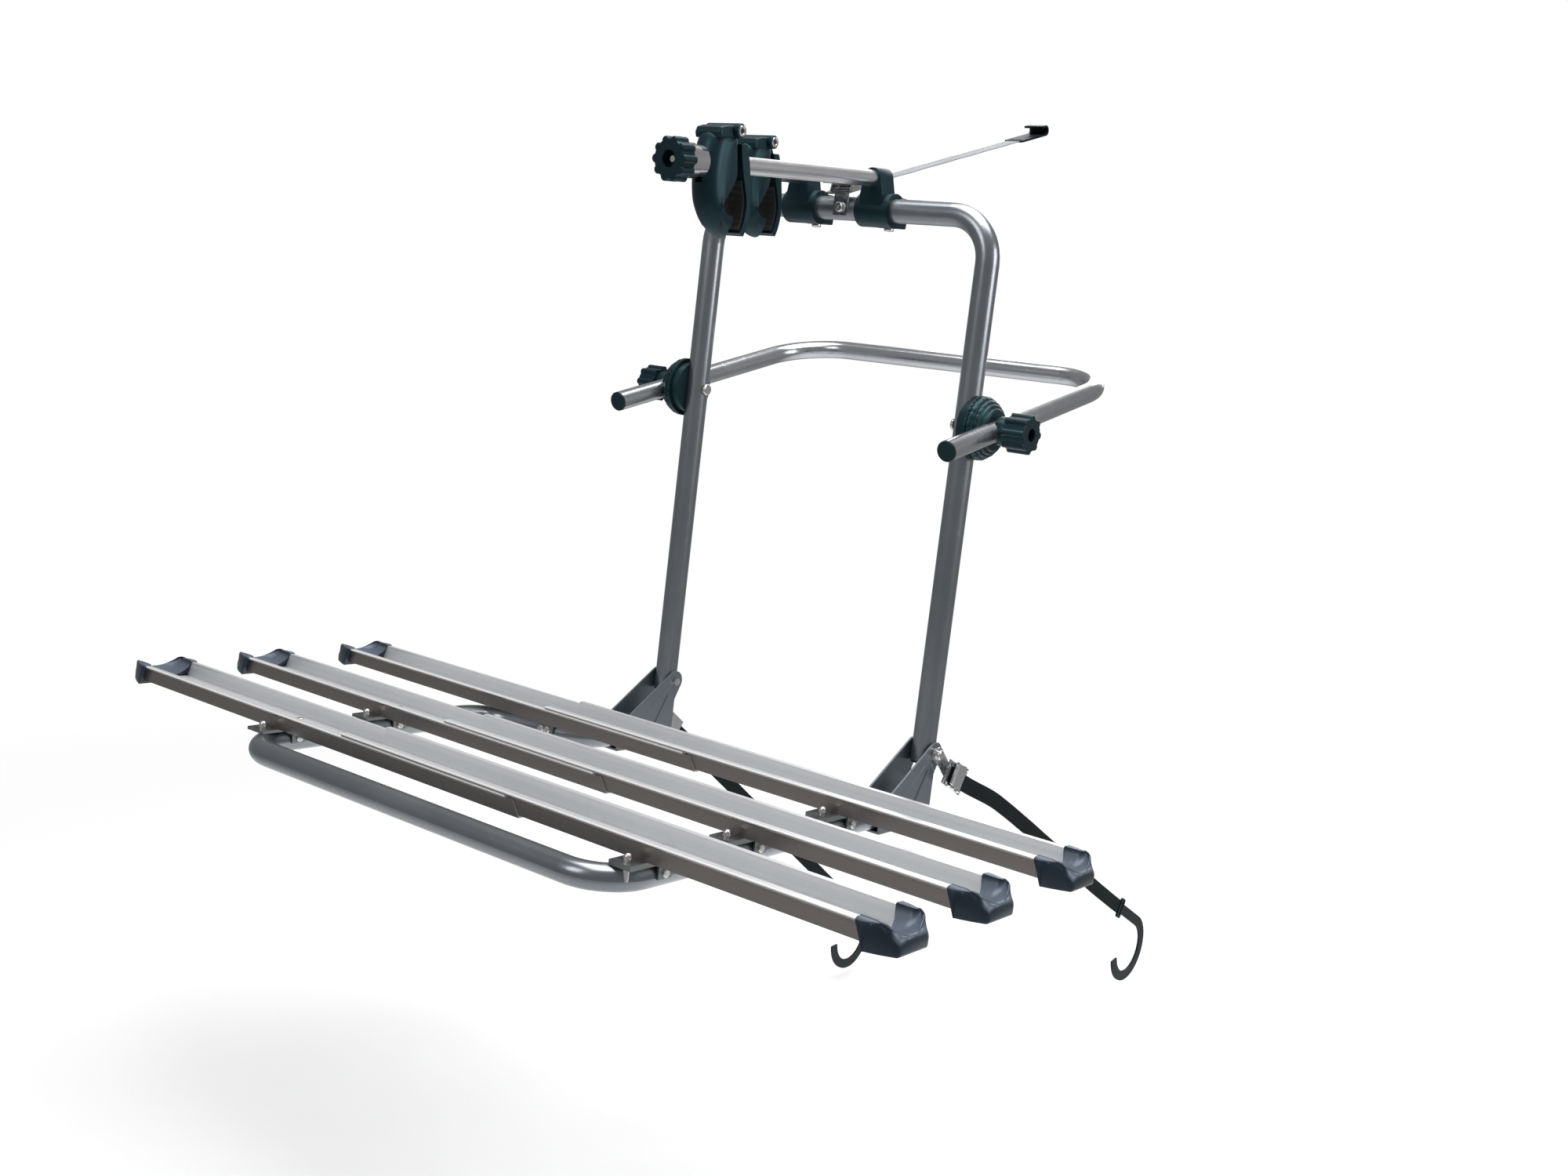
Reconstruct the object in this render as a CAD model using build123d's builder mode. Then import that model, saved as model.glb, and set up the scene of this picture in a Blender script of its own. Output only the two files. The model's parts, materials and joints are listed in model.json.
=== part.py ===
"""Bike rack: uprights, a fold-down platform with rails, a tilting hoop, frame arms and straps.

The frame of the part: X runs along the rails, Y runs from the platform to the hoop's closed end,
Z is up. The origin lies midway between the two hoop pivots, at the middle of the rack's hold.
All lengths are in millimetres and all angles in degrees.
"""

import os
from math import cos, radians, sin, tan

from build123d import *

# Tubes
UPRIGHT_OD = 35.0
UPRIGHT_WALL = 2.0
PLATFORM_OD = 35.0
PLATFORM_WALL = 2.0
HOOP_OD = 30.0
HOOP_WALL = 1.8
ARM_OD = 24.0
ARM_WALL = 1.5
BEND_RADIUS = 65.0
HOOP_BEND = 95.0
PLUG_LENGTH = 12.0
FOOT_PLUG_LENGTH = 8.0
PLUG_LIP = 3.0

# Uprights
LEG_HALF_SPACING = 255.0
TOP_BAR_Z = 297.0
FOLD_Z = -480.0
FOOT_OVERHANG = 14.0

# Platform tube, with its left arm bent in to the left foot
PLATFORM_DROP = 83.0
FRONT_TUBE_Y = -666.0
LEFT_ARM_X = -457.0
JOG_OUTER_Y = -210.5
JOG_INNER_Y = -174.9

# Foot brackets, one folded channel at each foot
CHEEK_GAP = 36.0
CHEEK_PLATE = 3.0
CHEEK_TIP_R = 17.0
CHEEK_FRONT = 125.0
CHEEK_FRONT_DROP = 62.0
CHEEK_REAR = 3.0
CHEEK_REAR_DROP = 30.6
CHEEK_FRONT_TANGENT = 57.0
CHEEK_REAR_TANGENT = 16.0
RIB_HEIGHT = 1.2
RIB_WIDTH = 5.0
RIB_START = 24.0
RIB_LENGTH = 72.0
RIB_LEANS = (38.0, 60.0)
BRACKET_BOLT_Y = -70.0

# Rails, each one telescoped from two channel sections
RAIL_Y = (-629.0, -444.0, -239.0)
RAIL_WIDTH = 88.0
RAIL_HEIGHT = 25.0
RAIL_WALL = 2.4
RAIL_LIP = 5.6
RAIL_LIP_HEIGHT = 4.5
RAIL_LIP_ROUND = 1.8
RAIL_LEFT_END = -785.0
RAIL_RIGHT_END = 602.0
RAIL_SPLICE_LEFT = -290.0
RAIL_SPLICE_RIGHT = (45.0, 21.0, 4.0)
SPLICE_SLANT = 14.0
SPLICE_LIP_BACK = 9.0
SPLICE_SCREW_BACK = (100.0, 100.0, 64.0)
SPLICE_SCREW_PITCH = 67.0
RAIL_NEST_GAP = 0.3

# Saddles that carry the rails on the platform tube
SADDLE_THICKNESS = 4.5
SADDLE_INSIDE = 15.0
SADDLE_TAB = 20.0
SADDLE_REAR = 70.0
SADDLE_FLANGE = 3.0
SADDLE_FLANGE_LENGTH = 24.0
SADDLE_FLANGE_DROP = 19.0
JOG_SADDLE_X = -322.0
CAP_NUT_R = 5.5
CAP_NUT_HEIGHT = 11.0
CAP_NUT_SETBACK = 9.0
CAP_NUT_SHIFT = 5.0
RIVET_SHIFT = 9.0
RIVET_SPREAD = 22.0
RIVET_HEAD = 2.0
SPLICE_NUT_R = 5.5
SPLICE_NUT_HEIGHT = 4.5
BRACKET_HEAD = 4.0

# Plastic end caps of the rails
CAP_LENGTH = 51.0
CAP_SOCKET = 20.0
CAP_WALL = 3.0
CAP_SOLE = 6.0
CAP_LINING = 1.5
CAP_BEVEL_LENGTH = 36.0
CAP_BEVEL_WIDTH = 28.0
CAP_BEVEL_ROUND = 7.0
CAP_RAKE = 12.0
CAP_SLANT = 14.0
CAP_ROLL = 7.0
CAP_SCOOP_RISE = 13.0
CAP_MOUTH_HALF = 44.0
CAP_MOUTH_DEPTH = 21.5
CAP_GAP = 0.2
CAP_EDGE = 2.4

# Hoop, with a tube round three sides
HOOP_STANDOFF = 52.0
HOOP_FRONT = 130.0
HOOP_REAR = 357.0
HOOP_TILT = 14.5

# Toothed discs and knobs of the hoop clamp
DISC_R = 46.0
DISC_SPLIT = 26.4
DISC_GAP = 0.4
DISC_BACK = 8.0
DISC_BACK_R = 40.0
DISC_FLANGE = 6.0
DISC_MIDDLE_R = 32.0
DISC_MIDDLE = 5.0
DISC_BOSS_R = 21.0
DISC_TEETH = 36
TOOTH_WIDTH = 2.4
TOOTH_DEPTH = 1.4
TOOTH_HEIGHT = 2.0
HOOP_WASHER_R = 21.0
HOOP_WASHER_INSIDE = 6.0
HOOP_WASHER_OUTSIDE = 7.0
HOOP_KNOB_R = 28.0
HOOP_KNOB_LENGTH = 34.0
HOOP_KNOB_LOBES = 8
HOOP_KNOB_RECESS_R = 9.5
HOOP_HEAD_R = 9.0
HOOP_HEAD_HEIGHT = 5.0

# Clamps of the frame arms on the top bar
ARM_X = (-78.0, 58.0)
ARM_TILT = 5.4
ARM_RISE = 45.3
CLAMP_WIDTH = 58.0
CLAMP_R = 25.0
NECK_WIDTH = 40.0
NECK_FRONT = 24.0
NECK_REAR = 9.0
NECK_SHOULDER = 22.0
LUG_REAR = 43.0
LUG_HALF_HEIGHT = 22.0
LUG_WIDTH = 44.0
LUG_BOLT_Y = 31.0
CLAMP_SLIT = 3.0
ARM_START = -4.0

# Jaw heads at the ends of the arms, placed by their hinge
HINGE_REACH = (122.0, 362.0)
HEAD_WIDTH = 44.0
HINGE_RISE = 42.0
HINGE_R = 9.0
KNUCKLE_WIDTH = 28.0
KNUCKLE_GAP = 0.4
SOCKET_REACH = 36.0
SOCKET_WALL = 3.5
TUBE_IN_SOCKET = 24.0
PAD_THICKNESS = 3.0
PAD_WIDTH = 36.0
PAD_SIDE = 1.5
PAD_REACH = 90.0
OUTER_PAD_WINDOW = (-80.0, -34.0)
INNER_PAD_WINDOW = (-84.0, -20.0)
SOCKET_LENGTH = 17.0
JAW_ROUND = 2.5
PIN_END = 1.5
PIN_HEAD_R = 6.5
PIN_HEAD_HEIGHT = 3.0
PIN_SOCKET_R = 3.0
STUD_R = 4.8
STUD_END = 101.0
SLOT_HALF_WIDTH = 5.6
SLOT_TOP = 5.8
SLOT_DROP = 26.0
COLLAR_R = 12.5
COLLAR_START = 42.0
COLLAR_END = 85.0
COLLAR_HEAD_R = 18.0
COLLAR_HEAD_LENGTH = 19.0
COLLAR_EDGE = 1.5
JAW_KNOB_R = 29.0
JAW_KNOB_LENGTH = 23.0
JAW_KNOB_LOBES = 10
JAW_KNOB_RECESS_R = 11.0

# Knobs share these
KNOB_CORE = 0.86
LOBE_SIZE = 0.2
KNOB_EDGE = 2.0
KNOB_RECESS = 14.0
KNOB_GAP = 0.3

# Straps, cam buckles and hooks
STRAP_WIDTH = 25.0
STRAP_THICKNESS = 1.8
TOP_STRAP_SLOPE = 17.6
TOP_STRAP_LENGTH = 482.0
TOP_BUCKLE_RISE = 8.0
TOP_BUCKLE_Y = -8.0
TAB_DROP = 12.0
RIGHT_STRAP_SLOPE = -26.9
RIGHT_STRAP_DROP = 14.0
LEFT_STRAP_SLOPE = -35.2
LEFT_STRAP_DROP = 49.0
SIDE_STRAP_LENGTH = 725.0
BUCKLE_PIN_Y = 54.0
STRAP_TUCK = 18.0
BUCKLE_PLATE = 2.0
BUCKLE_WIDTH = 38.0
BUCKLE_BODY = 60.0
LINK_WIDTH = 22.0
EAR_HEIGHT = 15.0
EAR_LENGTH = 36.0
EAR_PLATE = 1.8
EAR_ROUND = 4.0
LEVER_PIN_R = 2.5
LEVER_PIN_RISE = 10.5
LEVER_CAM_R = 6.0
LEVER_LENGTH = 34.0
LEVER_PLATE = 3.0
HOOK_WIDTH = 36.0
HOOK_PLATE = 3.5
HOOK_STRAIGHT = 80.0
HOOK_CURL_R = 7.0
HOOK_TIP = 12.0
HOOK_SLOT = 6.0
HOOK_EYE = 16.0
CLAW_WIDTH = 18.0
CLAW_R = 53.0
CLAW_SHANK = 98.0
CLAW_SWEEP = 230.0

# Fasteners and fits
BOLT_R = 4.0
BOLT_HEAD_R = 7.5
BOLT_HEAD_HEIGHT = 5.0
SCREW_R = 3.0
SCREW_HEAD_R = 5.5
SCREW_HEAD_HEIGHT = 3.5
NUT_R = 6.5
NUT_HEIGHT = 5.0
SPACER_R = 10.0
SPACER_LENGTH = 4.6
RUNNING = 0.08
FREE = 0.4

# Sizes that follow from the ones above
upright_r = UPRIGHT_OD / 2
platform_r = PLATFORM_OD / 2
hoop_r = HOOP_OD / 2
arm_r = ARM_OD / 2
platform_z = FOLD_Z - PLATFORM_DROP
bracket_floor_z = platform_z - platform_r
rail_base_z = platform_z + platform_r + SADDLE_THICKNESS
rail_top_z = rail_base_z + RAIL_HEIGHT
rail_half_wall = RAIL_WIDTH / 2 - RAIL_LIP
nested_half_wall = rail_half_wall - RAIL_WALL - RAIL_NEST_GAP
nested_base_z = rail_base_z + RAIL_WALL
nested_top_z = rail_top_z + RAIL_LIP_HEIGHT
disc_split_x = LEG_HALF_SPACING + DISC_SPLIT
hoop_half_width = LEG_HALF_SPACING + HOOP_STANDOFF
hoop_knob_x = hoop_half_width + hoop_r + HOOP_WASHER_OUTSIDE + KNOB_GAP
cheek_face = CHEEK_GAP / 2 + CHEEK_PLATE
link_x = LEG_HALF_SPACING + cheek_face + FREE + SPACER_LENGTH
parts = []


def keep(part, label):
    part.label = label
    parts.append(part)


def hoop_place(x, s, rise=0.0):
    """A point of the tilted hoop, s behind its pivot and a rise above its plane."""
    a = radians(HOOP_TILT)
    return (x, s * cos(a) - rise * sin(a), s * sin(a) + rise * cos(a))


def arm_place(x, u, v):
    """A point of a frame arm: u out along the arm from the top bar, v above the bar's axis."""
    a = radians(ARM_TILT)
    return (x, -u * cos(a) - v * sin(a), TOP_BAR_Z - u * sin(a) + v * cos(a))


def arm_side(x, u=0.0, v=0.0):
    """Side plane of a frame arm: local x out along the arm, local y up."""
    a = radians(ARM_TILT)
    return Plane(origin=arm_place(x, u, v), x_dir=(0, -cos(a), -sin(a)), z_dir=(-1, 0, 0))


def arm_section(x, u, v=ARM_RISE):
    """Cross-section of a frame arm, with its normal out along the arm."""
    a = radians(ARM_TILT)
    return Plane(origin=arm_place(x, u, v), x_dir=(1, 0, 0), z_dir=(0, -cos(a), -sin(a)))


def bolt(plane, reach, head_r, head_height, radius=BOLT_R, socket_r=0.0):
    """A bolt whose head sits behind the plane and whose shank runs a reach along its normal."""
    with BuildPart() as screw:
        with BuildSketch(plane):
            Circle(radius)
        extrude(amount=reach)
        with BuildSketch(plane):
            Circle(head_r)
        extrude(amount=-head_height)
        rim = screw.faces().sort_by(Axis(plane.origin, plane.z_dir))[0].edges()
        fillet(rim, head_height * 0.45)
        if socket_r > 0:
            with BuildSketch(plane.offset(-head_height)):
                RegularPolygon(socket_r, 6)
            extrude(amount=head_height * 0.6, mode=Mode.SUBTRACT)
    return screw.part


def nut(plane, radius=NUT_R, height=NUT_HEIGHT, hole=BOLT_R):
    """A hexagon nut on a shank, standing on the plane."""
    with BuildPart() as piece:
        with BuildSketch(plane):
            RegularPolygon(radius, 6)
            Circle(hole, mode=Mode.SUBTRACT)
        extrude(amount=height)
    return piece.part


def knob(plane, radius, length, lobes, recess_r, bore_r):
    """A lobed hand knob that stands on the plane and turns about its normal."""
    with BuildPart() as grip:
        with BuildSketch(plane):
            Circle(radius * KNOB_CORE)
            with PolarLocations(radius * (1 - LOBE_SIZE), lobes):
                Circle(radius * LOBE_SIZE)
        extrude(amount=length)
        fillet(grip.faces().sort_by(Axis(plane.origin, plane.z_dir))[-1].edges(), KNOB_EDGE)
        with BuildSketch(plane.offset(length - KNOB_RECESS)):
            Circle(recess_r)
        extrude(amount=KNOB_RECESS, mode=Mode.SUBTRACT)
        with BuildSketch(plane):
            Circle(bore_r)
        extrude(amount=length, mode=Mode.SUBTRACT)
    return grip.part


# The inverted U of the uprights: two legs and the top bar, bent from one tube
leg_foot_z = FOLD_Z - FOOT_OVERHANG
with BuildPart() as upright_frame:
    with BuildLine() as upright_path:
        FilletPolyline(
            (-LEG_HALF_SPACING, 0, leg_foot_z),
            (-LEG_HALF_SPACING, 0, TOP_BAR_Z),
            (LEG_HALF_SPACING, 0, TOP_BAR_Z),
            (LEG_HALF_SPACING, 0, leg_foot_z),
            radius=BEND_RADIUS,
        )
    with BuildSketch(Plane.XY.offset(leg_foot_z)):
        with Locations((-LEG_HALF_SPACING, 0)):
            Circle(upright_r)
            Circle(upright_r - UPRIGHT_WALL, mode=Mode.SUBTRACT)
    sweep(path=upright_path.wires()[0])
    # Holes across the legs for the fold bolts and the hoop bolts
    for side in (-1, 1):
        with BuildSketch(Plane.YZ.offset(side * LEG_HALF_SPACING)):
            with Locations((0, FOLD_Z), (0, 0)):
                Circle(BOLT_R + RUNNING)
        extrude(amount=UPRIGHT_OD, both=True, mode=Mode.SUBTRACT)
    # Hole for the buckle's screw in the front of the top bar
    with BuildSketch(Plane.XZ):
        with Locations((0, TOP_BAR_Z)):
            Circle(SCREW_R)
    extrude(amount=UPRIGHT_OD, mode=Mode.SUBTRACT)
keep(upright_frame.part, "upright_frame")


def tube_plugs(planes, outer_r, wall, length=PLUG_LENGTH):
    """Plastic plugs pressed into tube ends, each plane's normal pointing out of its tube."""
    plugs = []
    for plane in planes:
        with BuildPart() as plug:
            with BuildSketch(plane):
                Circle(outer_r - wall)
            extrude(amount=-length)
            with BuildSketch(plane):
                Circle(outer_r)
            extrude(amount=PLUG_LIP)
            far_face = plug.faces().sort_by(Axis(plane.origin, plane.z_dir))[-1]
            fillet(far_face.edges(), PLUG_LIP * 0.6)
        plugs.append(plug.part)
    return Compound(children=plugs)


foot_planes = []
for side in (-1, 1):
    foot_origin = (side * LEG_HALF_SPACING, 0, leg_foot_z)
    foot_planes.append(Plane(origin=foot_origin, x_dir=(1, 0, 0), z_dir=(0, 0, -1)))
keep(tube_plugs(foot_planes, upright_r, UPRIGHT_WALL, FOOT_PLUG_LENGTH), "foot_plugs")

# Crossings of the rails and the platform tube, with the holes that their fixings need
jog_slope = (JOG_INNER_Y - JOG_OUTER_Y) / (-LEG_HALF_SPACING - LEFT_ARM_X)
jog_y = JOG_OUTER_Y + jog_slope * (JOG_SADDLE_X - LEFT_ARM_X)
jog_plane = Plane(
    origin=(JOG_SADDLE_X, jog_y, platform_z), x_dir=(1, jog_slope, 0), z_dir=(0, 0, 1)
)
jog_front = Plane(
    origin=jog_plane.origin - jog_plane.y_dir * platform_r,
    x_dir=jog_plane.x_dir,
    z_dir=-jog_plane.y_dir,
)
jog_screws = ((-SCREW_HEAD_R - FREE, SCREW_HEAD_R), (SCREW_HEAD_R + FREE, SCREW_HEAD_R))
jog_rivets = ((-RIVET_SHIFT, RIVET_SHIFT), (RIVET_SHIFT, RIVET_SHIFT))
tube_top = platform_z + platform_r
crossings = []
for front_y in RAIL_Y:
    crossings.append((LEG_HALF_SPACING, front_y, SADDLE_THICKNESS + RAIL_WALL))
for front_y in RAIL_Y[:2]:
    crossings.append((LEFT_ARM_X, front_y, SADDLE_THICKNESS))


def nut_place(x, front_y):
    return (x + CAP_NUT_SHIFT, front_y - CAP_NUT_SETBACK)


def side_place(front_y):
    return (front_y + RAIL_WIDTH / 2, platform_z + SCREW_HEAD_R)


def rivet_places(x, front_y):
    middle = front_y + RAIL_WIDTH / 2
    return [(x - RIVET_SHIFT, middle - RIVET_SPREAD), (x - RIVET_SHIFT, middle + RIVET_SPREAD)]


def arm_saddle(x, front_y, thickness):
    """A pressed strip under a rail: a tab in front of it and a flange down the tube's side."""
    width = SADDLE_INSIDE + platform_r + SADDLE_FLANGE
    length = SADDLE_REAR + SADDLE_TAB
    with BuildPart() as strip:
        with BuildSketch(Plane.XY.offset(tube_top)):
            with Locations((x + width / 2 - SADDLE_INSIDE, front_y - SADDLE_TAB + length / 2)):
                Rectangle(width, length)
            with Locations(nut_place(x, front_y)):
                Circle(BOLT_R, mode=Mode.SUBTRACT)
            with Locations(*rivet_places(x, front_y)):
                Circle(SCREW_R, mode=Mode.SUBTRACT)
        extrude(amount=thickness)
        with BuildSketch(Plane.YZ.offset(x + platform_r)):
            with Locations((front_y + RAIL_WIDTH / 2, tube_top - SADDLE_FLANGE_DROP / 2)):
                Rectangle(SADDLE_FLANGE_LENGTH, SADDLE_FLANGE_DROP)
            with Locations(side_place(front_y)):
                Circle(SCREW_R, mode=Mode.SUBTRACT)
        extrude(amount=SADDLE_FLANGE)
    return strip.part


def jog_saddle():
    """A strip across the bent arm, with its flange down the front of the tube."""
    width = SADDLE_INSIDE + platform_r
    with BuildPart() as strip:
        with BuildSketch(jog_plane.offset(platform_r)):
            with Locations((0, (SADDLE_TAB - platform_r - SADDLE_FLANGE) / 2)):
                Rectangle(width, SADDLE_TAB + platform_r + SADDLE_FLANGE)
            with Locations(*jog_rivets):
                Circle(SCREW_R, mode=Mode.SUBTRACT)
        extrude(amount=SADDLE_THICKNESS)
        with BuildSketch(jog_front):
            with Locations((0, platform_r - SADDLE_FLANGE_DROP / 2)):
                Rectangle(width, SADDLE_FLANGE_DROP)
            with Locations(*jog_screws):
                Circle(SCREW_R, mode=Mode.SUBTRACT)
        extrude(amount=SADDLE_FLANGE)
    return strip.part


# The platform tube: a U whose left arm is bent in to the left foot
with BuildPart() as platform_tube:
    with BuildLine() as platform_path:
        FilletPolyline(
            (LEG_HALF_SPACING, 0, platform_z),
            (LEG_HALF_SPACING, FRONT_TUBE_Y, platform_z),
            (LEFT_ARM_X, FRONT_TUBE_Y, platform_z),
            (LEFT_ARM_X, JOG_OUTER_Y, platform_z),
            (-LEG_HALF_SPACING, JOG_INNER_Y, platform_z),
            (-LEG_HALF_SPACING, 0, platform_z),
            radius=BEND_RADIUS,
        )
    with BuildSketch(Plane.XZ):
        with Locations((LEG_HALF_SPACING, platform_z)):
            Circle(platform_r)
            Circle(platform_r - PLATFORM_WALL, mode=Mode.SUBTRACT)
    sweep(path=platform_path.wires()[0])
    # Holes for the bolts that hold the tube in its brackets
    for side in (-1, 1):
        with BuildSketch(Plane.YZ.offset(side * LEG_HALF_SPACING)):
            with Locations((BRACKET_BOLT_Y, platform_z)):
                Circle(BOLT_R)
        extrude(amount=PLATFORM_OD, both=True, mode=Mode.SUBTRACT)
    # Holes for the fixings of the rail saddles
    for x, front_y, thickness in crossings:
        with BuildSketch(Plane.XY.offset(platform_z)):
            with Locations(nut_place(x, front_y)):
                Circle(BOLT_R)
        extrude(amount=PLATFORM_OD, mode=Mode.SUBTRACT)
        with BuildSketch(Plane.YZ.offset(x)):
            with Locations(side_place(front_y)):
                Circle(SCREW_R)
        extrude(amount=PLATFORM_OD, mode=Mode.SUBTRACT)
    with BuildSketch(jog_front.offset(-platform_r)):
        with Locations(*jog_screws):
            Circle(SCREW_R)
    extrude(amount=PLATFORM_OD, mode=Mode.SUBTRACT)
keep(platform_tube.part, "platform_tube")

platform_ends = []
for side in (-1, 1):
    end_origin = (side * LEG_HALF_SPACING, 0, platform_z)
    platform_ends.append(Plane(origin=end_origin, x_dir=(1, 0, 0), z_dir=(0, 1, 0)))
keep(tube_plugs(platform_ends, platform_r, PLATFORM_WALL), "platform_plugs")


def foot_bracket(x):
    """One folded channel: a base under the platform tube and two ribbed cheeks up to the foot."""
    rib_middle = RIB_START + RIB_LENGTH / 2
    over = radians(CHEEK_FRONT_TANGENT)
    under = radians(CHEEK_REAR_TANGENT)
    with BuildPart() as channel:
        for side in (-1, 1):
            inner = x + side * CHEEK_GAP / 2
            with BuildSketch(Plane.YZ.offset(inner)):
                with BuildLine():
                    Polyline(
                        (-CHEEK_TIP_R * cos(over), FOLD_Z + CHEEK_TIP_R * sin(over)),
                        (-CHEEK_FRONT, FOLD_Z - CHEEK_FRONT_DROP),
                        (-CHEEK_FRONT, bracket_floor_z - CHEEK_PLATE),
                        (CHEEK_REAR, bracket_floor_z - CHEEK_PLATE),
                        (CHEEK_REAR, FOLD_Z - CHEEK_REAR_DROP),
                        (CHEEK_TIP_R * cos(under), FOLD_Z - CHEEK_TIP_R * sin(under)),
                        close=True,
                    )
                make_face()
                with Locations((0, FOLD_Z)):
                    Circle(CHEEK_TIP_R)
                    Circle(BOLT_R + RUNNING, mode=Mode.SUBTRACT)
                with Locations((BRACKET_BOLT_Y, platform_z)):
                    Circle(BOLT_R, mode=Mode.SUBTRACT)
            extrude(amount=side * CHEEK_PLATE)
            # Two pressed ribs fan out from the tip along each cheek
            for lean in RIB_LEANS:
                a = radians(lean)
                middle = (-rib_middle * cos(a), FOLD_Z - rib_middle * sin(a))
                with BuildSketch(Plane.YZ.offset(inner + side * CHEEK_PLATE)):
                    with Locations(middle):
                        SlotOverall(RIB_LENGTH, RIB_WIDTH, rotation=lean)
                extrude(amount=side * RIB_HEIGHT)
        with BuildSketch(Plane.XY.offset(bracket_floor_z)):
            with Locations((x, (CHEEK_REAR - CHEEK_FRONT) / 2)):
                Rectangle(CHEEK_GAP, CHEEK_REAR + CHEEK_FRONT)
        extrude(amount=-CHEEK_PLATE)
    return channel.part


keep(foot_bracket(-LEG_HALF_SPACING), "foot_bracket_left")
keep(foot_bracket(LEG_HALF_SPACING), "foot_bracket_right")


def channel_profile(middle, base_z, half_wall, lip_z, grow=0.0):
    """Sketch of a rail's channel on the YZ plane, with a rounded lip out along each wall."""
    top_z = lip_z + RAIL_LIP_HEIGHT
    with Locations((middle, base_z + RAIL_WALL / 2)):
        Rectangle(2 * half_wall + 2 * grow, RAIL_WALL + 2 * grow)
    for side in (-1, 1):
        with Locations((middle + side * (half_wall - RAIL_WALL / 2), (base_z + top_z) / 2)):
            Rectangle(RAIL_WALL + 2 * grow, top_z - base_z + 2 * grow)
        lip_width = RAIL_WIDTH / 2 - half_wall + RAIL_WALL
        lip_middle = middle + side * (RAIL_WIDTH - lip_width) / 2
        with Locations((lip_middle, lip_z + RAIL_LIP_HEIGHT / 2)):
            RectangleRounded(
                lip_width + 2 * grow, RAIL_LIP_HEIGHT + 2 * grow, RAIL_LIP_ROUND + grow
            )


def splice_places(number):
    """Places along X of the two screws that join the sections of a rail."""
    first = RAIL_SPLICE_RIGHT[number] - SPLICE_SCREW_BACK[number]
    return (first, first - SPLICE_SCREW_PITCH)


def rail_holes(number, sides):
    """Sketch of the splice's screw holes and the saddles' rivet holes in a rail's floor."""
    front_y = RAIL_Y[number]
    with BuildSketch(Plane.XY.offset(rail_base_z)) as holes:
        for x in splice_places(number):
            with Locations((x, front_y + RAIL_WIDTH / 2)):
                Circle(SCREW_R)
        for x in sides:
            with Locations(*rivet_places(x, front_y)):
                Circle(SCREW_R)
    return holes.sketch


def jog_holes(radius):
    """Sketch of the rivet holes over the bent arm."""
    with BuildSketch(jog_plane.offset(platform_r)) as holes:
        with Locations(*jog_rivets):
            Circle(radius)
    return holes.sketch


def rail_left(number):
    """The outer section of a rail: its right end is cut on a slant, its lips a little shorter."""
    front_y = RAIL_Y[number]
    splice_end = RAIL_SPLICE_RIGHT[number]
    lip_z = rail_top_z - RAIL_LIP_HEIGHT
    with BuildPart() as section:
        with BuildSketch(Plane.YZ.offset(RAIL_LEFT_END)):
            channel_profile(front_y + RAIL_WIDTH / 2, rail_base_z, rail_half_wall, lip_z)
        extrude(amount=splice_end + SPLICE_SLANT - RAIL_LEFT_END)
        with BuildSketch(Plane.XZ.offset(-front_y - RAIL_WIDTH)):
            with BuildLine():
                Polyline(
                    (splice_end - SPLICE_LIP_BACK, rail_top_z + 1),
                    (splice_end - SPLICE_LIP_BACK, lip_z),
                    (splice_end, lip_z),
                    (splice_end + SPLICE_SLANT, rail_base_z),
                    (splice_end + SPLICE_SLANT + 1, rail_top_z + 1),
                    close=True,
                )
            make_face()
        extrude(amount=RAIL_WIDTH, mode=Mode.SUBTRACT)
        on_jog = number == len(RAIL_Y) - 1
        holes = rail_holes(number, [] if on_jog else [LEFT_ARM_X])
        extrude(holes, amount=2 * RAIL_WALL, mode=Mode.SUBTRACT)
        if on_jog:
            extrude(jog_holes(SCREW_R), amount=RAIL_HEIGHT / 2, mode=Mode.SUBTRACT)
    return section.part


def rail_right(number):
    """The inner section of a rail, nested in the outer one with its lips resting on it."""
    middle = RAIL_Y[number] + RAIL_WIDTH / 2
    with BuildPart() as section:
        with BuildSketch(Plane.YZ.offset(RAIL_SPLICE_LEFT)):
            channel_profile(middle, nested_base_z, nested_half_wall, rail_top_z)
        extrude(amount=RAIL_RIGHT_END - RAIL_SPLICE_LEFT)
        holes = rail_holes(number, [LEG_HALF_SPACING])
        extrude(holes, amount=2 * RAIL_WALL, mode=Mode.SUBTRACT)
    return section.part


for number in range(len(RAIL_Y)):
    keep(rail_left(number), "rail_%d_left" % (number + 1))
    keep(rail_right(number), "rail_%d_right" % (number + 1))


def scoop_profile(x, middle, half, low_z, arc_z, top_z):
    """Cross-section of a cap's scoop: a round bottom between two upright sides."""
    with BuildSketch(Plane.YZ.offset(x)) as profile:
        with BuildLine():
            ThreePointArc((middle - half, arc_z), (middle, low_z), (middle + half, arc_z))
            Polyline(
                (middle + half, arc_z),
                (middle + half, top_z),
                (middle - half, top_z),
                (middle - half, arc_z),
            )
        make_face()
    return profile.sketch


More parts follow.
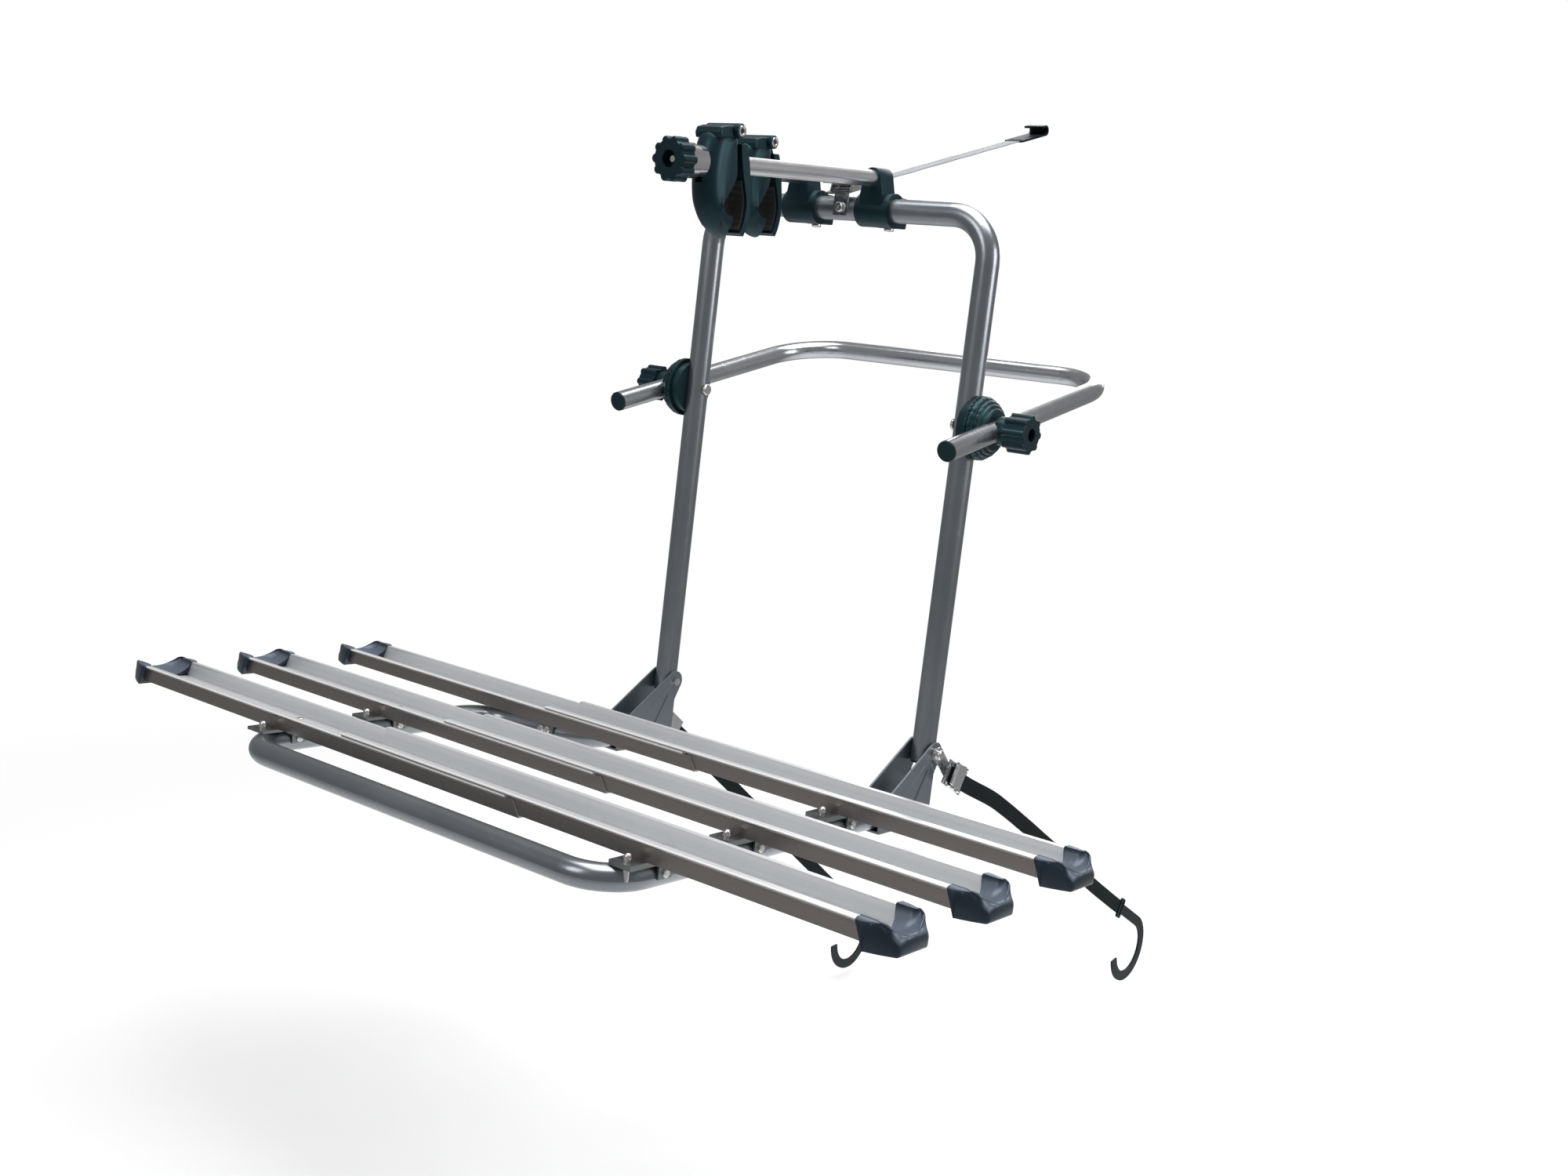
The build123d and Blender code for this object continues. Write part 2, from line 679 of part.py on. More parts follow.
def rail_cap(front_y, rail_end, side, base_z, half_wall, lip_z):
    """A plastic cap: a socket over the rail's end and a raked nose that a scoop runs through."""
    middle = front_y + RAIL_WIDTH / 2
    start = rail_end - side * CAP_SOCKET
    tip = start + side * CAP_LENGTH
    half = RAIL_WIDTH / 2 + CAP_WALL
    top_z = lip_z + RAIL_LIP_HEIGHT + CAP_WALL
    floor_z = base_z - CAP_SOLE
    bevel_x = tip - side * CAP_BEVEL_LENGTH
    bevel_y = half - CAP_BEVEL_WIDTH
    scoop_half = half_wall - RAIL_WALL - CAP_GAP - CAP_LINING
    scoop_low = base_z + RAIL_WALL + CAP_LINING
    scoop_length = CAP_SOCKET + CAP_GAP + CAP_LINING
    mouth_low = top_z - CAP_MOUTH_DEPTH
    with BuildPart() as cap:
        with BuildSketch(Plane.XY.offset(floor_z)):
            with BuildLine():
                Polyline(
                    (start, middle - half),
                    (bevel_x, middle - half),
                    (tip, middle - bevel_y),
                    (tip, middle + bevel_y),
                    (bevel_x, middle + half),
                    (start, middle + half),
                    close=True,
                )
            make_face()
            nose = vertices().sort_by(Axis.X)
            fillet(nose[-4:] if side > 0 else nose[:4], CAP_BEVEL_ROUND)
        extrude(amount=top_z - floor_z)
        fillet(cap.faces().sort_by(Axis.Z)[0].edges(), CAP_EDGE)
        # The end face rakes back towards the top
        with BuildSketch(Plane.XZ.offset(-middle)):
            with BuildLine():
                Polyline(
                    (tip, base_z),
                    (tip - side * CAP_RAKE, top_z + 1),
                    (tip + side, top_z + 1),
                    (tip + side, base_z),
                    close=True,
                )
            make_face()
        extrude(amount=half + 1, both=True, mode=Mode.SUBTRACT)
        # The socket's edge slants forward below its rolled top
        with BuildSketch(Plane.XZ.offset(-middle)):
            with BuildLine():
                Polyline(
                    (start, top_z - CAP_ROLL),
                    (start + side * CAP_SLANT, floor_z - 1),
                    (start - side, floor_z - 1),
                    (start - side, top_z - CAP_ROLL),
                    close=True,
                )
            make_face()
        extrude(amount=half + 1, both=True, mode=Mode.SUBTRACT)
        # Scoop that carries the trough on, up and out over the nose
        arc_z = scoop_low + CAP_SCOOP_RISE
        near = scoop_profile(start - side, middle, scoop_half, scoop_low, arc_z, top_z + 1)
        extrude(near, amount=side * (scoop_length + 1), mode=Mode.SUBTRACT)
        turn = scoop_profile(
            start + side * scoop_length, middle, scoop_half, scoop_low, arc_z, top_z + 1
        )
        far = scoop_profile(
            tip + side, middle, CAP_MOUTH_HALF, mouth_low, top_z - 1, top_z + 1
        )
        loft(sections=[turn.face(), far.face()], ruled=True, mode=Mode.SUBTRACT)
        # Socket that takes the end of the rail
        with BuildSketch(Plane.YZ.offset(start)):
            channel_profile(middle, base_z, half_wall, lip_z, CAP_GAP)
        extrude(amount=side * (CAP_SOCKET + CAP_GAP), mode=Mode.SUBTRACT)
    return cap.part


caps = []
for front_y in RAIL_Y:
    lip_z = rail_top_z - RAIL_LIP_HEIGHT
    caps.append(rail_cap(front_y, RAIL_LEFT_END, -1, rail_base_z, rail_half_wall, lip_z))
    caps.append(
        rail_cap(front_y, RAIL_RIGHT_END, 1, nested_base_z, nested_half_wall, rail_top_z)
    )
keep(Compound(children=caps), "rail_caps")

saddles = [arm_saddle(*crossing) for crossing in crossings]
saddles.append(jog_saddle())
keep(Compound(children=saddles), "rail_saddles")

# Fixings of the platform: saddle nuts and screws, rivets, splice screws and bracket bolts
fixings = []
for x, front_y, thickness in crossings:
    nut_x, nut_y = nut_place(x, front_y)
    nut_seat = Plane(
        origin=(nut_x, nut_y, tube_top + thickness), x_dir=(1, 0, 0), z_dir=(0, 0, -1)
    )
    fixings.append(bolt(nut_seat, thickness + platform_r, CAP_NUT_R, CAP_NUT_HEIGHT))
    side_y, side_z = side_place(front_y)
    side_seat = Plane(
        origin=(x + platform_r + SADDLE_FLANGE, side_y, side_z), x_dir=(0, 1, 0), z_dir=(-1, 0, 0)
    )
    fixings.append(
        bolt(side_seat, platform_r, SCREW_HEAD_R, SCREW_HEAD_HEIGHT, SCREW_R)
    )
    for rivet_x, rivet_y in rivet_places(x, front_y):
        rivet_z = tube_top + thickness + RAIL_WALL
        seat = Plane(origin=(rivet_x, rivet_y, rivet_z), x_dir=(1, 0, 0), z_dir=(0, 0, -1))
        fixings.append(
            bolt(seat, thickness + RAIL_WALL, SCREW_HEAD_R, RIVET_HEAD, SCREW_R)
        )
for place in jog_screws:
    seat = jog_front.offset(SADDLE_FLANGE)
    seat = Plane(origin=seat.from_local_coords((place[0], place[1], 0)),
                 x_dir=jog_plane.x_dir, z_dir=-seat.z_dir)
    fixings.append(bolt(seat, platform_r, SCREW_HEAD_R, SCREW_HEAD_HEIGHT, SCREW_R))
for place in jog_rivets:
    height = platform_r + SADDLE_THICKNESS + RAIL_WALL
    seat = Plane(origin=jog_plane.from_local_coords((place[0], place[1], height)),
                 x_dir=(1, 0, 0), z_dir=(0, 0, -1))
    fixings.append(
        bolt(seat, SADDLE_THICKNESS + RAIL_WALL, SCREW_HEAD_R, RIVET_HEAD, SCREW_R)
    )
for number, front_y in enumerate(RAIL_Y):
    middle = front_y + RAIL_WIDTH / 2
    for x in splice_places(number):
        seat = Plane(
            origin=(x, middle, nested_base_z + RAIL_WALL), x_dir=(1, 0, 0), z_dir=(0, 0, -1)
        )
        reach = 2 * RAIL_WALL + SPLICE_NUT_HEIGHT + SCREW_R
        fixings.append(bolt(seat, reach, SCREW_HEAD_R, SCREW_HEAD_HEIGHT, SCREW_R))
        nut_seat = Plane(origin=(x, middle, rail_base_z), x_dir=(1, 0, 0), z_dir=(0, 0, -1))
        fixings.append(nut(nut_seat, SPLICE_NUT_R, SPLICE_NUT_HEIGHT, SCREW_R))
for side in (-1, 1):
    head_x = side * LEG_HALF_SPACING + cheek_face
    seat = Plane(origin=(head_x, BRACKET_BOLT_Y, platform_z), x_dir=(0, 1, 0), z_dir=(-1, 0, 0))
    fixings.append(bolt(seat, 2 * cheek_face + NUT_HEIGHT, BOLT_HEAD_R, BRACKET_HEAD))
    nut_x = side * LEG_HALF_SPACING - cheek_face
    seat = Plane(origin=(nut_x, BRACKET_BOLT_Y, platform_z), x_dir=(0, 1, 0), z_dir=(-1, 0, 0))
    fixings.append(nut(seat))
keep(Compound(children=fixings), "platform_fixings")

# The hoop: a U of tube, tilted about its pivots
hoop_tilt = radians(HOOP_TILT)
hoop_along = (0, cos(hoop_tilt), sin(hoop_tilt))
with BuildPart() as hoop:
    with BuildLine() as hoop_path:
        FilletPolyline(
            hoop_place(-hoop_half_width, -HOOP_FRONT),
            hoop_place(-hoop_half_width, HOOP_REAR),
            hoop_place(hoop_half_width, HOOP_REAR),
            hoop_place(hoop_half_width, -HOOP_FRONT),
            radius=HOOP_BEND,
        )
    hoop_end = hoop_place(-hoop_half_width, -HOOP_FRONT)
    with BuildSketch(Plane(origin=hoop_end, x_dir=(1, 0, 0), z_dir=hoop_along)):
        Circle(hoop_r)
        Circle(hoop_r - HOOP_WALL, mode=Mode.SUBTRACT)
    sweep(path=hoop_path.wires()[0])
    for side in (-1, 1):
        with BuildSketch(Plane.YZ.offset(side * hoop_half_width)):
            Circle(BOLT_R + RUNNING)
        extrude(amount=HOOP_OD, both=True, mode=Mode.SUBTRACT)
keep(hoop.part, "hoop")

hoop_back = (0, -cos(hoop_tilt), -sin(hoop_tilt))
hoop_ends = []
for side in (-1, 1):
    end_origin = hoop_place(side * hoop_half_width, -HOOP_FRONT)
    hoop_ends.append(Plane(origin=end_origin, x_dir=(1, 0, 0), z_dir=hoop_back))
keep(tube_plugs(hoop_ends, hoop_r, HOOP_WALL), "hoop_plugs")


def side_plane(side, x):
    """A plane across X at a distance x out on the given side, its normal pointing outwards."""
    return Plane(origin=(side * x, 0, 0), x_dir=(0, side, 0), z_dir=(side, 0, 0))


def tooth_ring(plane):
    """Sketch of the notches round the rim of a disc."""
    with BuildSketch(plane) as notches:
        with PolarLocations(DISC_R, DISC_TEETH):
            Rectangle(2 * TOOTH_DEPTH, TOOTH_WIDTH)
    return notches.sketch


def leg_disc(side):
    """The disc that is saddled on the leg, its toothed rim facing the hoop."""
    back_x = LEG_HALF_SPACING + DISC_BACK
    with BuildPart() as disc:
        with BuildSketch(side_plane(side, back_x)):
            Circle(DISC_BACK_R)
        extrude(amount=disc_split_x - back_x)
        with BuildSketch(side_plane(side, disc_split_x)):
            Circle(DISC_R)
        extrude(amount=-DISC_FLANGE)
        notches = tooth_ring(side_plane(side, disc_split_x))
        extrude(notches, amount=-TOOTH_HEIGHT, mode=Mode.SUBTRACT)
        with BuildSketch(Plane.XY):
            with Locations((side * LEG_HALF_SPACING, 0)):
                Circle(upright_r)
        extrude(amount=DISC_R + 1, both=True, mode=Mode.SUBTRACT)
        with BuildSketch(side_plane(side, back_x)):
            Circle(BOLT_R)
        extrude(amount=DISC_SPLIT, mode=Mode.SUBTRACT)
    return disc.part


def hoop_disc(side):
    """The disc that carries the hoop's arm: a toothed rim, a step and a saddled boss."""
    face_x = disc_split_x + DISC_GAP
    with BuildPart() as disc:
        with BuildSketch(side_plane(side, face_x)):
            Circle(DISC_R)
        extrude(amount=DISC_FLANGE)
        notches = tooth_ring(side_plane(side, face_x))
        extrude(notches, amount=TOOTH_HEIGHT, mode=Mode.SUBTRACT)
        with BuildSketch(side_plane(side, face_x + DISC_FLANGE)):
            Circle(DISC_MIDDLE_R)
        extrude(amount=DISC_MIDDLE)
        with BuildSketch(side_plane(side, face_x)):
            Circle(DISC_BOSS_R)
        extrude(amount=hoop_half_width - hoop_r / 2 - face_x)
        with BuildSketch(Plane(origin=(side * hoop_half_width, 0, 0), x_dir=(1, 0, 0),
                               z_dir=hoop_along)):
            Circle(hoop_r)
        extrude(amount=DISC_R + 1, both=True, mode=Mode.SUBTRACT)
        with BuildSketch(side_plane(side, face_x)):
            Circle(BOLT_R + RUNNING)
        extrude(amount=DISC_BOSS_R, mode=Mode.SUBTRACT)
    return disc.part


def hoop_washer(side):
    """The shaped washer between the hoop's arm and its knob."""
    inner_x = hoop_half_width + HOOP_WASHER_INSIDE
    outer_x = hoop_half_width + hoop_r + HOOP_WASHER_OUTSIDE
    with BuildPart() as washer:
        with BuildSketch(side_plane(side, inner_x)):
            Circle(HOOP_WASHER_R)
        extrude(amount=outer_x - inner_x)
        with BuildSketch(Plane(origin=(side * hoop_half_width, 0, 0), x_dir=(1, 0, 0),
                               z_dir=hoop_along)):
            Circle(hoop_r)
        extrude(amount=DISC_R, both=True, mode=Mode.SUBTRACT)
        with BuildSketch(side_plane(side, inner_x)):
            Circle(BOLT_R + RUNNING)
        extrude(amount=DISC_R, mode=Mode.SUBTRACT)
    return washer.part


washers = []
hoop_bolts = []
for side, name in ((-1, "left"), (1, "right")):
    keep(leg_disc(side), "leg_disc_" + name)
    keep(hoop_disc(side), "hoop_disc_" + name)
    washers.append(hoop_washer(side))
    knob_plane = side_plane(side, hoop_knob_x)
    keep(
        knob(knob_plane, HOOP_KNOB_R, HOOP_KNOB_LENGTH, HOOP_KNOB_LOBES, HOOP_KNOB_RECESS_R,
             BOLT_R + RUNNING),
        "hoop_knob_" + name,
    )
    # A domed head seats on the leg's inner side, and the shank ends in the knob's recess
    head_x = LEG_HALF_SPACING - upright_r
    reach = hoop_knob_x + HOOP_KNOB_LENGTH - KNOB_RECESS + BOLT_R - head_x
    hoop_bolts.append(bolt(side_plane(side, head_x), reach, HOOP_HEAD_R, HOOP_HEAD_HEIGHT))
keep(Compound(children=washers), "hoop_washers")
keep(Compound(children=hoop_bolts), "hoop_bolts")


def frame_arm(index, name):
    """One frame arm: its clamp on the top bar, its tube and the jaw head at its end."""
    x = ARM_X[index]
    reach = HINGE_REACH[index]
    clamp_part(x, name)
    tube_end = reach - TUBE_IN_SOCKET
    with BuildPart() as tube:
        with BuildSketch(arm_section(x, ARM_START)):
            Circle(arm_r)
            Circle(arm_r - ARM_WALL, mode=Mode.SUBTRACT)
        extrude(amount=tube_end - ARM_START)
    keep(tube.part, "arm_tube_" + name)
    rear = arm_section(x, ARM_START)
    rear = Plane(origin=rear.origin, x_dir=rear.x_dir, z_dir=-rear.z_dir)
    keep(tube_plugs([rear], arm_r, ARM_WALL), "arm_plug_" + name)
    keep(inner_jaw(x, reach), "inner_jaw_" + name)
    keep(outer_jaw(x, reach), "outer_jaw_" + name)
    inner_pad = jaw_pad(x, reach, inner_jaw_shape, PAD_THICKNESS, INNER_PAD_WINDOW)
    keep(inner_pad, "inner_pad_" + name)
    outer_pad = jaw_pad(x, reach, outer_jaw_shape, -PAD_THICKNESS, OUTER_PAD_WINDOW)
    keep(outer_pad, "outer_pad_" + name)
    keep(arm_fasteners(x, reach), "arm_fasteners_" + name)
    collar_plane = arm_section(x, reach + COLLAR_START)
    with BuildPart() as collar:
        with BuildSketch(collar_plane):
            Circle(COLLAR_R)
        extrude(amount=COLLAR_END - COLLAR_START)
        with BuildSketch(arm_section(x, reach + COLLAR_END)):
            Circle(COLLAR_HEAD_R)
        extrude(amount=-COLLAR_HEAD_LENGTH)
        rims = collar.edges().filter_by(GeomType.CIRCLE).sort_by(SortBy.RADIUS)
        chamfer(rims[-2:], COLLAR_EDGE)
        with BuildSketch(collar_plane):
            Circle(STUD_R + RUNNING)
        extrude(amount=COLLAR_END - COLLAR_START, mode=Mode.SUBTRACT)
    keep(collar.part, "jaw_collar_" + name)
    knob_plane = arm_section(x, reach + COLLAR_END + KNOB_GAP)
    keep(
        knob(knob_plane, JAW_KNOB_R, JAW_KNOB_LENGTH, JAW_KNOB_LOBES, JAW_KNOB_RECESS_R,
             STUD_R + RUNNING),
        "jaw_knob_" + name,
    )


def clamp_part(x, name):
    """The split clamp: a barrel round the top bar, a neck round the arm and a rear lug."""
    with BuildPart() as clamp:
        with BuildSketch(Plane.YZ.offset(x)):
            with Locations((0, TOP_BAR_Z)):
                Circle(CLAMP_R)
        extrude(amount=CLAMP_WIDTH / 2, both=True)
        with BuildSketch(arm_section(x, NECK_FRONT, 0.0)):
            with BuildLine():
                Polyline(
                    (-NECK_WIDTH / 2, 0),
                    (-NECK_WIDTH / 2, NECK_SHOULDER),
                    (-arm_r - SOCKET_WALL, ARM_RISE),
                    (arm_r + SOCKET_WALL, ARM_RISE),
                    (NECK_WIDTH / 2, NECK_SHOULDER),
                    (NECK_WIDTH / 2, 0),
                    close=True,
                )
            make_face()
            with Locations((0, ARM_RISE)):
                Circle(arm_r + SOCKET_WALL)
        extrude(amount=-NECK_FRONT - NECK_REAR)
        with BuildSketch(Plane.YZ.offset(x)):
            with Locations((LUG_REAR / 2, TOP_BAR_Z)):
                RectangleRounded(LUG_REAR, 2 * LUG_HALF_HEIGHT, KNOB_EDGE * 2)
        extrude(amount=LUG_WIDTH / 2, both=True)
        with BuildSketch(Plane.YZ.offset(x)):
            with Locations((0, TOP_BAR_Z)):
                Circle(upright_r + RUNNING)
            with Locations((LUG_REAR / 2 + upright_r / 2, TOP_BAR_Z)):
                Rectangle(LUG_REAR - upright_r + 4, CLAMP_SLIT)
        extrude(amount=CLAMP_WIDTH, both=True, mode=Mode.SUBTRACT)
        with BuildSketch(arm_section(x, NECK_FRONT)):
            Circle(arm_r)
        extrude(amount=-NECK_FRONT - LUG_REAR, mode=Mode.SUBTRACT)
        with BuildSketch(Plane.XY.offset(TOP_BAR_Z)):
            with Locations((x, LUG_BOLT_Y)):
                Circle(BOLT_R)
        extrude(amount=LUG_HALF_HEIGHT + 1, both=True, mode=Mode.SUBTRACT)
    keep(clamp.part, "arm_clamp_" + name)


def head_blank(x, reach, width, shape):
    """A jaw's side profile run out to both sides of the arm."""
    with BuildPart() as blank:
        extrude(shape(arm_side(x, reach, ARM_RISE)), amount=width / 2, both=True)
    return blank.part


def inner_jaw_shape(head):
    """Side profile of the inner jaw: a bowed plate from below the hinge down to its tip."""
    with BuildSketch(head) as profile:
        with BuildLine():
            Spline((-9, 26), (-12, 4), (-19, -24), (-25, -50), (-22, -70), (-14, -88))
            Line((-14, -88), (-21, -92))
            Spline((-21, -92), (-30, -72), (-33, -50), (-31, -24), (-27, 4), (-20, 26))
            Line((-20, 26), (-9, 26))
        make_face()
    return profile.sketch


def outer_jaw_shape(head):
    """Side profile of the outer jaw: it hangs from the hinge and curls in under the mouth."""
    with BuildSketch(head) as profile:
        with BuildLine():
            Spline(
                (3, 50.4), (28, 48), (38, 40), (40.5, 5), (39, -27), (35, -56), (24, -78),
                (11, -90), (0, -95),
            )
            Line((0, -95), (2, -88))
            Spline(
                (2, -88), (14, -83.5), (21.5, -70), (21, -55), (12, -39), (2, -26), (-2, -14),
                (0, 7), (5, 26), (8, 36),
            )
            Line((8, 36), (3, 50.4))
        make_face()
    return profile.sketch


def inner_jaw(x, reach):
    """The jaw that stays on the arm, with the arm's socket and the hinge's knuckle."""
    head = arm_side(x, reach, ARM_RISE)
    with BuildPart() as jaw:
        extrude(inner_jaw_shape(head), amount=HEAD_WIDTH / 2, both=True)
        with BuildSketch(arm_section(x, reach - SOCKET_REACH)):
            Circle(arm_r + SOCKET_WALL)
        extrude(amount=SOCKET_LENGTH)
        with BuildSketch(head):
            with BuildLine():
                Polyline(
                    (-HINGE_R, HINGE_RISE),
                    (-20, 20),
                    (-11, 16),
                    (HINGE_R * 0.7, HINGE_RISE - HINGE_R * 0.7),
                    close=True,
                )
            make_face()
            with Locations((0, HINGE_RISE)):
                Circle(HINGE_R)
        extrude(amount=KNUCKLE_WIDTH / 2, both=True)
        with BuildSketch(head):
            with Locations((0, HINGE_RISE)):
                Circle(BOLT_R)
        extrude(amount=HEAD_WIDTH, both=True, mode=Mode.SUBTRACT)
        with BuildSketch(arm_section(x, reach - SOCKET_REACH)):
            Circle(arm_r)
        extrude(amount=SOCKET_REACH - TUBE_IN_SOCKET, mode=Mode.SUBTRACT)
        with BuildSketch(arm_section(x, reach - SOCKET_REACH)):
            Circle(STUD_R)
        extrude(amount=2 * SOCKET_REACH, mode=Mode.SUBTRACT)
    return jaw.part


def outer_jaw(x, reach):
    """The jaw that swings on the hinge pin, slotted for the stud."""
    head = arm_side(x, reach, ARM_RISE)
    with BuildPart() as jaw:
        with BuildSketch(head):
            add(outer_jaw_shape(Plane.XY))
            with Locations((0, HINGE_RISE)):
                Circle(HINGE_R)
        extrude(amount=HEAD_WIDTH / 2, both=True)
        fillet(jaw.faces().sort_by(Axis(head.origin, head.x_dir))[-1].edges(), JAW_ROUND)
        with BuildSketch(head):
            with Locations((0, HINGE_RISE)):
                Circle(HINGE_R + KNUCKLE_GAP)
        extrude(amount=KNUCKLE_WIDTH / 2 + KNUCKLE_GAP, both=True, mode=Mode.SUBTRACT)
        with BuildSketch(head):
            with Locations((0, HINGE_RISE)):
                Circle(BOLT_R + RUNNING)
        extrude(amount=HEAD_WIDTH, both=True, mode=Mode.SUBTRACT)
        # The slot lets the jaw swing past the stud
        with BuildSketch(head):
            with BuildLine():
                Polyline(
                    (-HINGE_R, SLOT_TOP),
                    (COLLAR_START + HINGE_R, SLOT_TOP),
                    (COLLAR_START + HINGE_R, -SLOT_DROP),
                    (-HINGE_R, -SLOT_DROP / 3),
                    close=True,
                )
            make_face()
        extrude(amount=SLOT_HALF_WIDTH, both=True, mode=Mode.SUBTRACT)
    return jaw.part


def jaw_pad(x, reach, shape, shift, window):
    """A rubber pad that follows a jaw's mouth, inside a window of the side view."""
    head = arm_side(x, reach, ARM_RISE)
    low, high = window
    blank = head_blank(x, reach, PAD_WIDTH, shape)
    with BuildPart() as pad:
        add(blank.moved(Location(head.x_dir * shift)))
        add(head_blank(x, reach, HEAD_WIDTH, shape), mode=Mode.SUBTRACT)
        with BuildSketch(head):
            with Locations((PAD_SIDE * shift, (low + high) / 2)):
                Rectangle(PAD_REACH, high - low)
        extrude(amount=PAD_WIDTH / 2, both=True, mode=Mode.INTERSECT)
    return pad.part


def arm_fasteners(x, reach):
    """Hinge pin, threaded stud and the clamp's bolt and nut, each its own solid."""
    pieces = []
    pin_seat = arm_side(x + HEAD_WIDTH / 2 + FREE, reach, ARM_RISE + HINGE_RISE)
    pin_seat = Plane(origin=pin_seat.origin, x_dir=pin_seat.x_dir, z_dir=(-1, 0, 0))
    pieces.append(
        bolt(pin_seat, HEAD_WIDTH + 2 * FREE + PIN_END, PIN_HEAD_R, PIN_HEAD_HEIGHT,
             BOLT_R, PIN_SOCKET_R)
    )
    with BuildPart() as stud:
        with BuildSketch(arm_section(x, reach - TUBE_IN_SOCKET)):
            Circle(STUD_R)
        extrude(amount=TUBE_IN_SOCKET + STUD_END)
        chamfer(stud.faces().sort_by(Axis.Y)[0].edges(), STUD_R * 0.2)
    pieces.append(stud.part)
    low_seat = Plane(
        origin=(x, LUG_BOLT_Y, TOP_BAR_Z - LUG_HALF_HEIGHT), x_dir=(1, 0, 0), z_dir=(0, 0, 1)
    )
    pieces.append(
        bolt(low_seat, 2 * LUG_HALF_HEIGHT + NUT_HEIGHT, BOLT_HEAD_R, BOLT_HEAD_HEIGHT,
             BOLT_R, PIN_SOCKET_R)
    )
    pieces.append(nut(low_seat.offset(2 * LUG_HALF_HEIGHT)))
    return Compound(children=pieces)


for index, name in enumerate(("a", "b")):
    frame_arm(index, name)


def strap_plane(x, y, z, slope, normal):
    """Plane of a strap: local x along it, its normal out of its flat side."""
    a = radians(slope)
    return Plane(origin=(x, y, z), x_dir=(0, cos(a), sin(a)), z_dir=normal)


def buckle_body(plane):
    """Base plate and two ears of a cam buckle."""
    with BuildPart() as body:
        with BuildSketch(plane):
            Rectangle(BUCKLE_BODY, BUCKLE_WIDTH)
        extrude(amount=BUCKLE_PLATE)
        for side in (-1, 1):
            ear = Plane(
                origin=plane.from_local_coords((0, side * BUCKLE_WIDTH / 2, 0)),
                x_dir=plane.x_dir * -side,
                z_dir=plane.y_dir * side,
            )
            with BuildSketch(ear):
                with BuildLine():
                    Polyline(
                        (-EAR_LENGTH / 2, 0),
                        (-EAR_LENGTH / 4, EAR_HEIGHT),
                        (EAR_LENGTH / 4, EAR_HEIGHT),
                        (EAR_LENGTH / 2, 0),
                        close=True,
                    )
                make_face()
                fillet(vertices().sort_by(Axis.Y)[-2:], EAR_ROUND)
                with Locations((0, LEVER_PIN_RISE)):
                    Circle(LEVER_PIN_R, mode=Mode.SUBTRACT)
            extrude(amount=-EAR_PLATE)
    return body.part


def buckle_lever(plane):
    """The cam lever of a buckle: a barrel on the pin and a handle that lies over the base."""
    width = BUCKLE_WIDTH - 2 * EAR_PLATE - 2 * FREE
    side = Plane(
        origin=plane.from_local_coords((0, 0, LEVER_PIN_RISE)),
        x_dir=plane.x_dir,
        z_dir=-plane.y_dir,
    )
    handle_low = LEVER_CAM_R - LEVER_PLATE
    with BuildPart() as lever:
        with BuildSketch(side):
            Circle(LEVER_CAM_R)
            with BuildLine():
                Polyline(
                    (0, handle_low),
                    (0, LEVER_CAM_R),
                    (-LEVER_LENGTH * 0.7, LEVER_CAM_R + 1),
                    (-LEVER_LENGTH, LEVER_CAM_R + LEVER_PLATE),
                    (-LEVER_LENGTH, LEVER_CAM_R),
                    (-LEVER_LENGTH * 0.7, handle_low + 1),
                    close=True,
                )
            make_face()
            Circle(LEVER_PIN_R + RUNNING, mode=Mode.SUBTRACT)
        extrude(amount=width / 2, both=True)
    return lever.part


def buckle_pin(plane):
    """The pin through a buckle's ears, headed at both ends."""
    seat = Plane(
        origin=plane.from_local_coords((0, BUCKLE_WIDTH / 2, LEVER_PIN_RISE)),
        x_dir=plane.x_dir,
        z_dir=-plane.y_dir,
    )
    return bolt(seat, BUCKLE_WIDTH + PIN_END, LEVER_PIN_R + 1.5, PIN_END, LEVER_PIN_R)


def webbing(plane, length):
    """A flat strap from under the buckle's cam to its hook."""
    with BuildPart() as strap:
        with BuildSketch(plane.offset(BUCKLE_PLATE)):
            with Locations(((length - STRAP_TUCK) / 2, 0)):
                Rectangle(length + STRAP_TUCK, STRAP_WIDTH)
        extrude(amount=STRAP_THICKNESS)
    return strap.part


def flat_hook(plane, length):
    """A plate hook: a slotted eye for the strap, a shank and a short curl."""
    middle = BUCKLE_PLATE + STRAP_THICKNESS / 2
    shank = HOOK_PLATE / 2
    with BuildPart() as hook:
        with BuildSketch(plane.offset(middle - shank)):
            with Locations((length + HOOK_EYE / 2, 0)):
                RectangleRounded(HOOK_EYE, HOOK_WIDTH, HOOK_PLATE)
            with Locations((length + HOOK_EYE + (HOOK_STRAIGHT - HOOK_EYE) / 2, 0)):
                Rectangle(HOOK_STRAIGHT - HOOK_EYE + 2, HOOK_WIDTH)
            with Locations((length + HOOK_EYE / 2 + 1, 0)):
                Rectangle(HOOK_SLOT, STRAP_WIDTH + 1, mode=Mode.SUBTRACT)
        extrude(amount=HOOK_PLATE)
        side = Plane(
            origin=plane.from_local_coords((length + HOOK_STRAIGHT, 0, middle)),
            x_dir=plane.x_dir,
            z_dir=-plane.y_dir,
        )
        with BuildSketch(side):
            with Locations((0, HOOK_CURL_R)):
                Circle(HOOK_CURL_R + shank)
                Circle(HOOK_CURL_R - shank, mode=Mode.SUBTRACT)
                with Locations((-HOOK_CURL_R, 0)):
                    Rectangle(
                        2 * HOOK_CURL_R, 3 * HOOK_CURL_R, mode=Mode.SUBTRACT
                    )
            with Locations((-HOOK_TIP / 2, 2 * HOOK_CURL_R)):
                Rectangle(HOOK_TIP, HOOK_PLATE)
        extrude(amount=HOOK_WIDTH / 2, both=True)
    return hook.part


